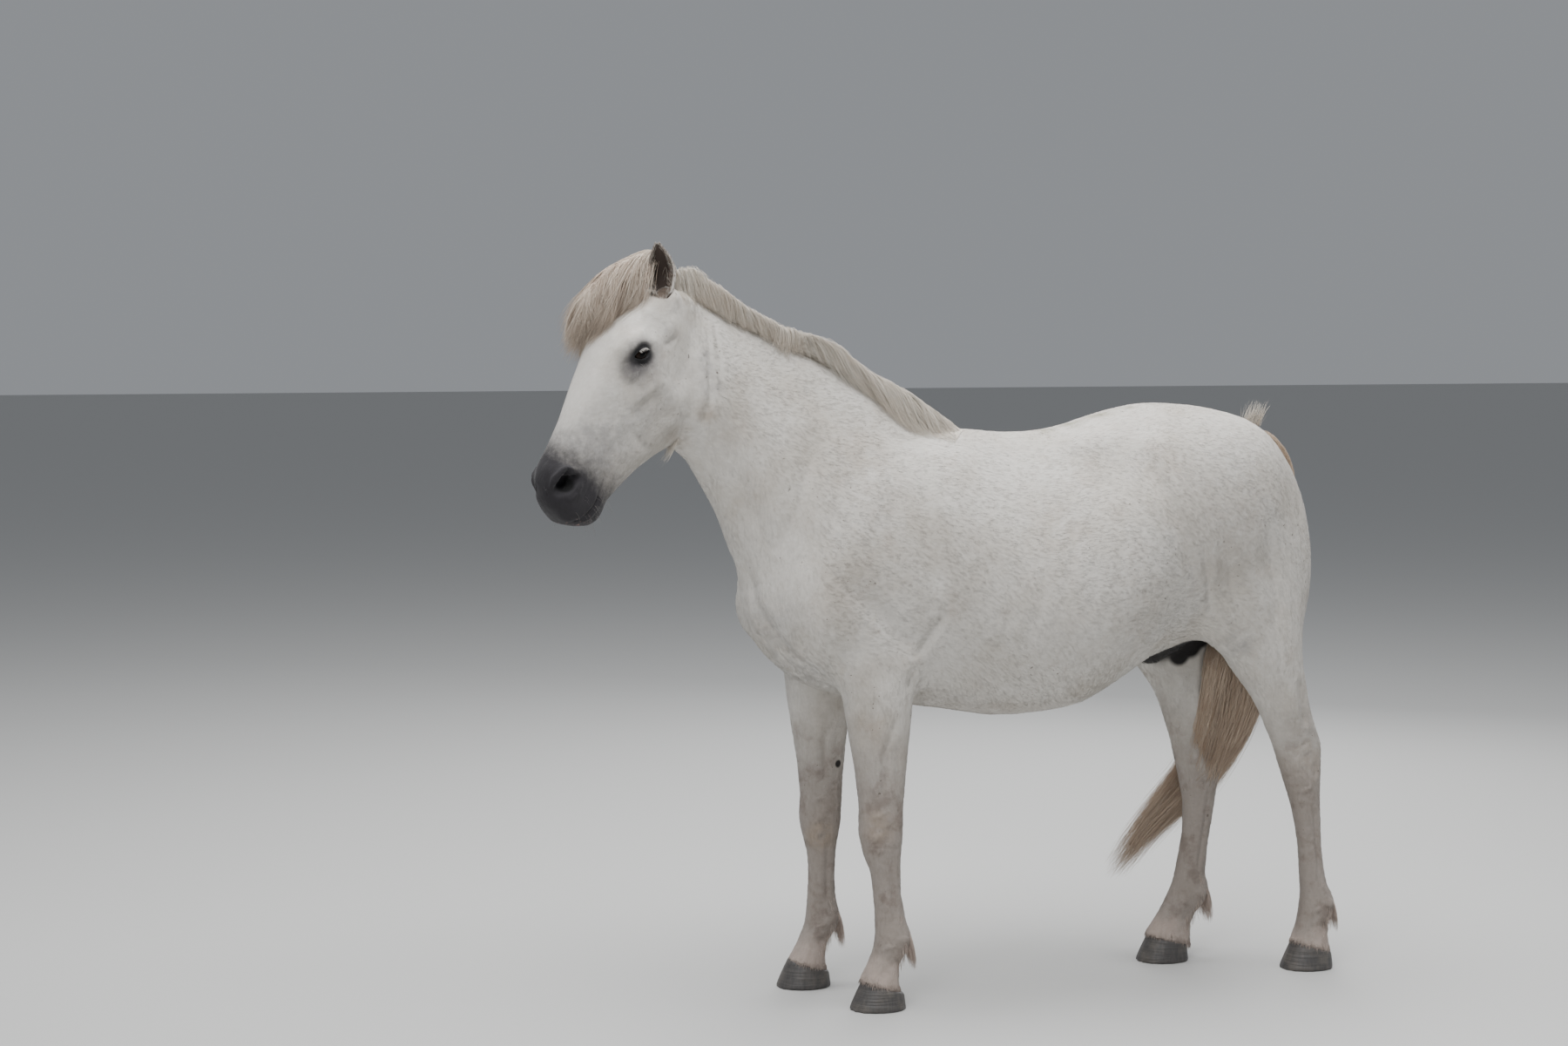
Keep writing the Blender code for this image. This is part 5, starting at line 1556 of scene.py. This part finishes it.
def build_feet_hair(hide):
    """Feathers behind the fetlocks and the fringe round the coronets."""
    gathered = Gathered()
    for limb in limbs(hide.points):
        end_of_lock = limb.at(0.17, 1.0, 0.5) + Vector((0, 0.003, -0.08))
        for i in range(560):
            tuft = i % 2 > 0
            z = 0.186 - 0.036 * rng.random() if tuft else 0.225 - 0.14 * rng.random()
            back = (0.8 if tuft else 0.62) + 0.2 * rng.random()
            found, normal = hide.nearest(limb.at(z, back, 0.5 + (rng.random() - 0.5) * (0.6 if tuft else 1.0)))
            aside = Vector((rng.random() - 0.5, rng.random() - 0.5, 0))
            if tuft:
                run = end_of_lock + aside * 0.016 - found
                way = normal * 0.3 + Vector((0, 0.12, -0.95))
                bend = run.normalized() + Vector((0, 0, -0.3))
                length = run.length * (0.45 + 0.6 * rng.random())
            else:
                way = normal * 0.16 + Vector((0, 0.05, -0.98))
                bend = aside * 0.2 + Vector((0, 0.03, -1.0))
                length = 0.014 + 0.014 * rng.random()
            gathered.add(found, way, bend, length)
    gathered.lay(hide, "fetlock_hair", 5, 0.00055, "feather", "leg_coat", even=False)
    weight = np.zeros(len(hide.centres))
    for which in ("fore", "hind"):
        for side in SIDES:
            low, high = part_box(f"{which}_hoof_{side}")
            x, y, z = hide.centres.T
            rim = HOOF_FRONT + (HOOF_BACK - HOOF_FRONT) * (y - low.y - 0.03) / (high.y - low.y - 0.03)
            close = (x > low.x - 0.01) & (x < high.x + 0.01) & (y > low.y - 0.01) & (y < high.y + 0.01)
            weight += close * np.exp(-(((z - rim - 0.006) / 0.006) ** 2))
    count = 3600  # strands round the coronets
    roots, normals, _ = hide.scatter(count, weight)
    ways = unit(normals * 0.42 + np.array([0, 0, -0.9]) + random_ways(count, 0.1))
    bends = unit(normals * 0.3 + np.array([0, 0, -1.0]) + random_ways(count, 0.16))
    lengths = 0.013 * spread(0.5, 1.4, count)
    lay_short(hide, "coronet_hair", roots, ways, lengths, bends, 3, 0.0006, "coronet", "leg_coat")


def build_small_hair(hide):
    """Lashes, whiskers, the dock's tuft and the throat's lock."""
    lashes, whiskers, tufts = Gathered(), Gathered(), Gathered()
    for side in SIDES:
        rear, up, out = eye_axes(side)
        for a in np.linspace(-0.01, 0.02, 90):
            a += (rng.random() - 0.5) * 0.001
            b = 0.0125 * max(0, 1 - (a / LID_HALF) ** 2) ** 0.75 + 0.0015
            c = math.sqrt(max(EYE_RADIUS**2 - a * a - b * b, 0)) + 0.003
            root = EYES[side] + rear * a + up * b + out * c
            stray = (rng.random() - 0.5) * 0.3
            way = out * 1.0 - up * 0.25 + rear * (a * 25 + stray)
            bend = out * 0.7 - up * 0.9 + rear * (a * 25 + stray * 2)
            lashes.add(root, way, bend, 0.006 + 0.006 * rng.random())
    lashes.lay(hide, "lashes", 6, 0.00014, "lash", "coat", 1.0)
    for side in SIDES:
        rear, up, _ = eye_axes(side)
        for _ in range(30):
            left, along = SIDES[side] * (0.02 + 0.03 * rng.random()), 0.5 + 0.11 * rng.random()
            found, normal = hide.nearest(on_head(left, along, -0.14 + 0.09 * rng.random()))
            whiskers.add(found, normal, normal * 0.4 + Vector((0, 0, -1)), 0.014 + 0.024 * rng.random())
        for _ in range(7):
            spot = EYES[side] + rear * (0.03 * (rng.random() - 0.5)) - up * 0.024
            found, normal = hide.nearest(spot)
            whiskers.add(found, normal - up * 0.3, normal * 0.5 - up, 0.014 + 0.012 * rng.random())
    whiskers.lay(hide, "whiskers", 6, 0.00018, "whisker", "coat", 1.0)
    for _ in range(170):
        root = place(0.012 * (rng.random() - 0.5), 1.085 + 0.05 * rng.random(), 1.385)
        way = (0.25 * (rng.random() - 0.5), -0.15 + 0.7 * rng.random(), 1.0)
        bend = (0.35 * (rng.random() - 0.5), 0.9 * rng.random(), 0.8)
        tufts.add(root, way, bend, 0.03 + 0.045 * rng.random())
    for _ in range(90):
        root = on_head(0.02 + 0.03 * rng.random(), 0.25 + 0.05 * rng.random(), -0.195)
        stray = 0.35 * (rng.random() - 0.5)
        bend = (-0.05 + stray, -0.55 + stray, -0.6)
        tufts.add(root, (-0.1 + stray, -0.2, -1), bend, 0.025 + 0.05 * rng.random())
    tufts.lay(hide, "dock_and_throat_hair", 8, 0.0004, "mane", "long_hair")


# ---------------------------------------------------------------- stage


def build_stage():
    floor = bpy.data.meshes.new("floor")
    half = 60
    corners = [(x * half, y * half, 0) for x, y in ((-1, -1), (1, -1), (1, 1), (-1, 1))]
    floor.from_pydata(corners, [], [(0, 1, 2, 3)])
    floor = new_object("floor", floor)
    paint = Paint("floor", 0.9)
    paint.finish(**{"Base Color": (0.52, 0.52, 0.51, 1)})
    floor.data.materials.append(paint.material)
    world = bpy.data.worlds.new("studio")
    world.use_nodes = True
    background = world.node_tree.nodes["Background"].inputs
    background["Color"].default_value, background["Strength"].default_value = (0.9, 0.94, 1.0, 1), 0.31
    bpy.context.scene.world = world
    for name, spot, target, size, power in (
        ("sky", (0.3, 0.1, 5.6), (0, 0, 1.0), 6.0, 660),
        ("key", (4.2, -3.4, 3.4), (0, -0.2, 1.1), 2.2, 95),
        ("rim", (-3.5, 2.5, 2.6), (0, 0, 1.0), 2.2, 60),
    ):
        light = bpy.data.lights.new(name, "AREA")
        light.energy, light.size = power, size
        lamp = new_object(name, light)
        lamp.location = spot
        lamp.rotation_euler = (Vector(target) - Vector(spot)).to_track_quat("-Z", "Y").to_euler()
    camera = bpy.data.cameras.new("camera")
    camera.lens, camera.sensor_width = 60, 36
    seat = new_object("camera", camera)
    seat.location = place(5.942, -2.125, 1.637)
    looking_down, turned = 4.2845, 71.56
    seat.rotation_euler = (math.radians(90 - looking_down), 0, math.radians(turned))
    bpy.context.scene.camera = seat


# ---------------------------------------------------------------- the whole horse

MATERIALS = {
    "eye": eye_material(),
    "coronet": coat_material("coronet_fur", True),
    "hoof": hoof_material(),
    "coat": coat_material("coat"),
    "fur": coat_material("fur", True),
    "ear": ear_material(),
    "ear_hair": ear_hair_material(),
}
for look, shades in HAIR_SHADES.items():
    MATERIALS[look] = hair_material(f"{look}_hair", *shades)
for look in ("mane", "forelock", "tail"):
    MATERIALS[f"{look}_core"] = hair_material(f"{look}_under", *HAIR_SHADES[look], strands=False)
build_stage()
skin = dressed(build_skin(), "coat", "coat", *FLESH)
for side in SIDES:
    build_eye(side)
build_hooves()
build_ears()
hide = Hide(skin)
build_long_hair(hide)
build_ear_hair(hide)
build_coat(hide)
build_feet_hair(hide)
build_small_hair(hide)
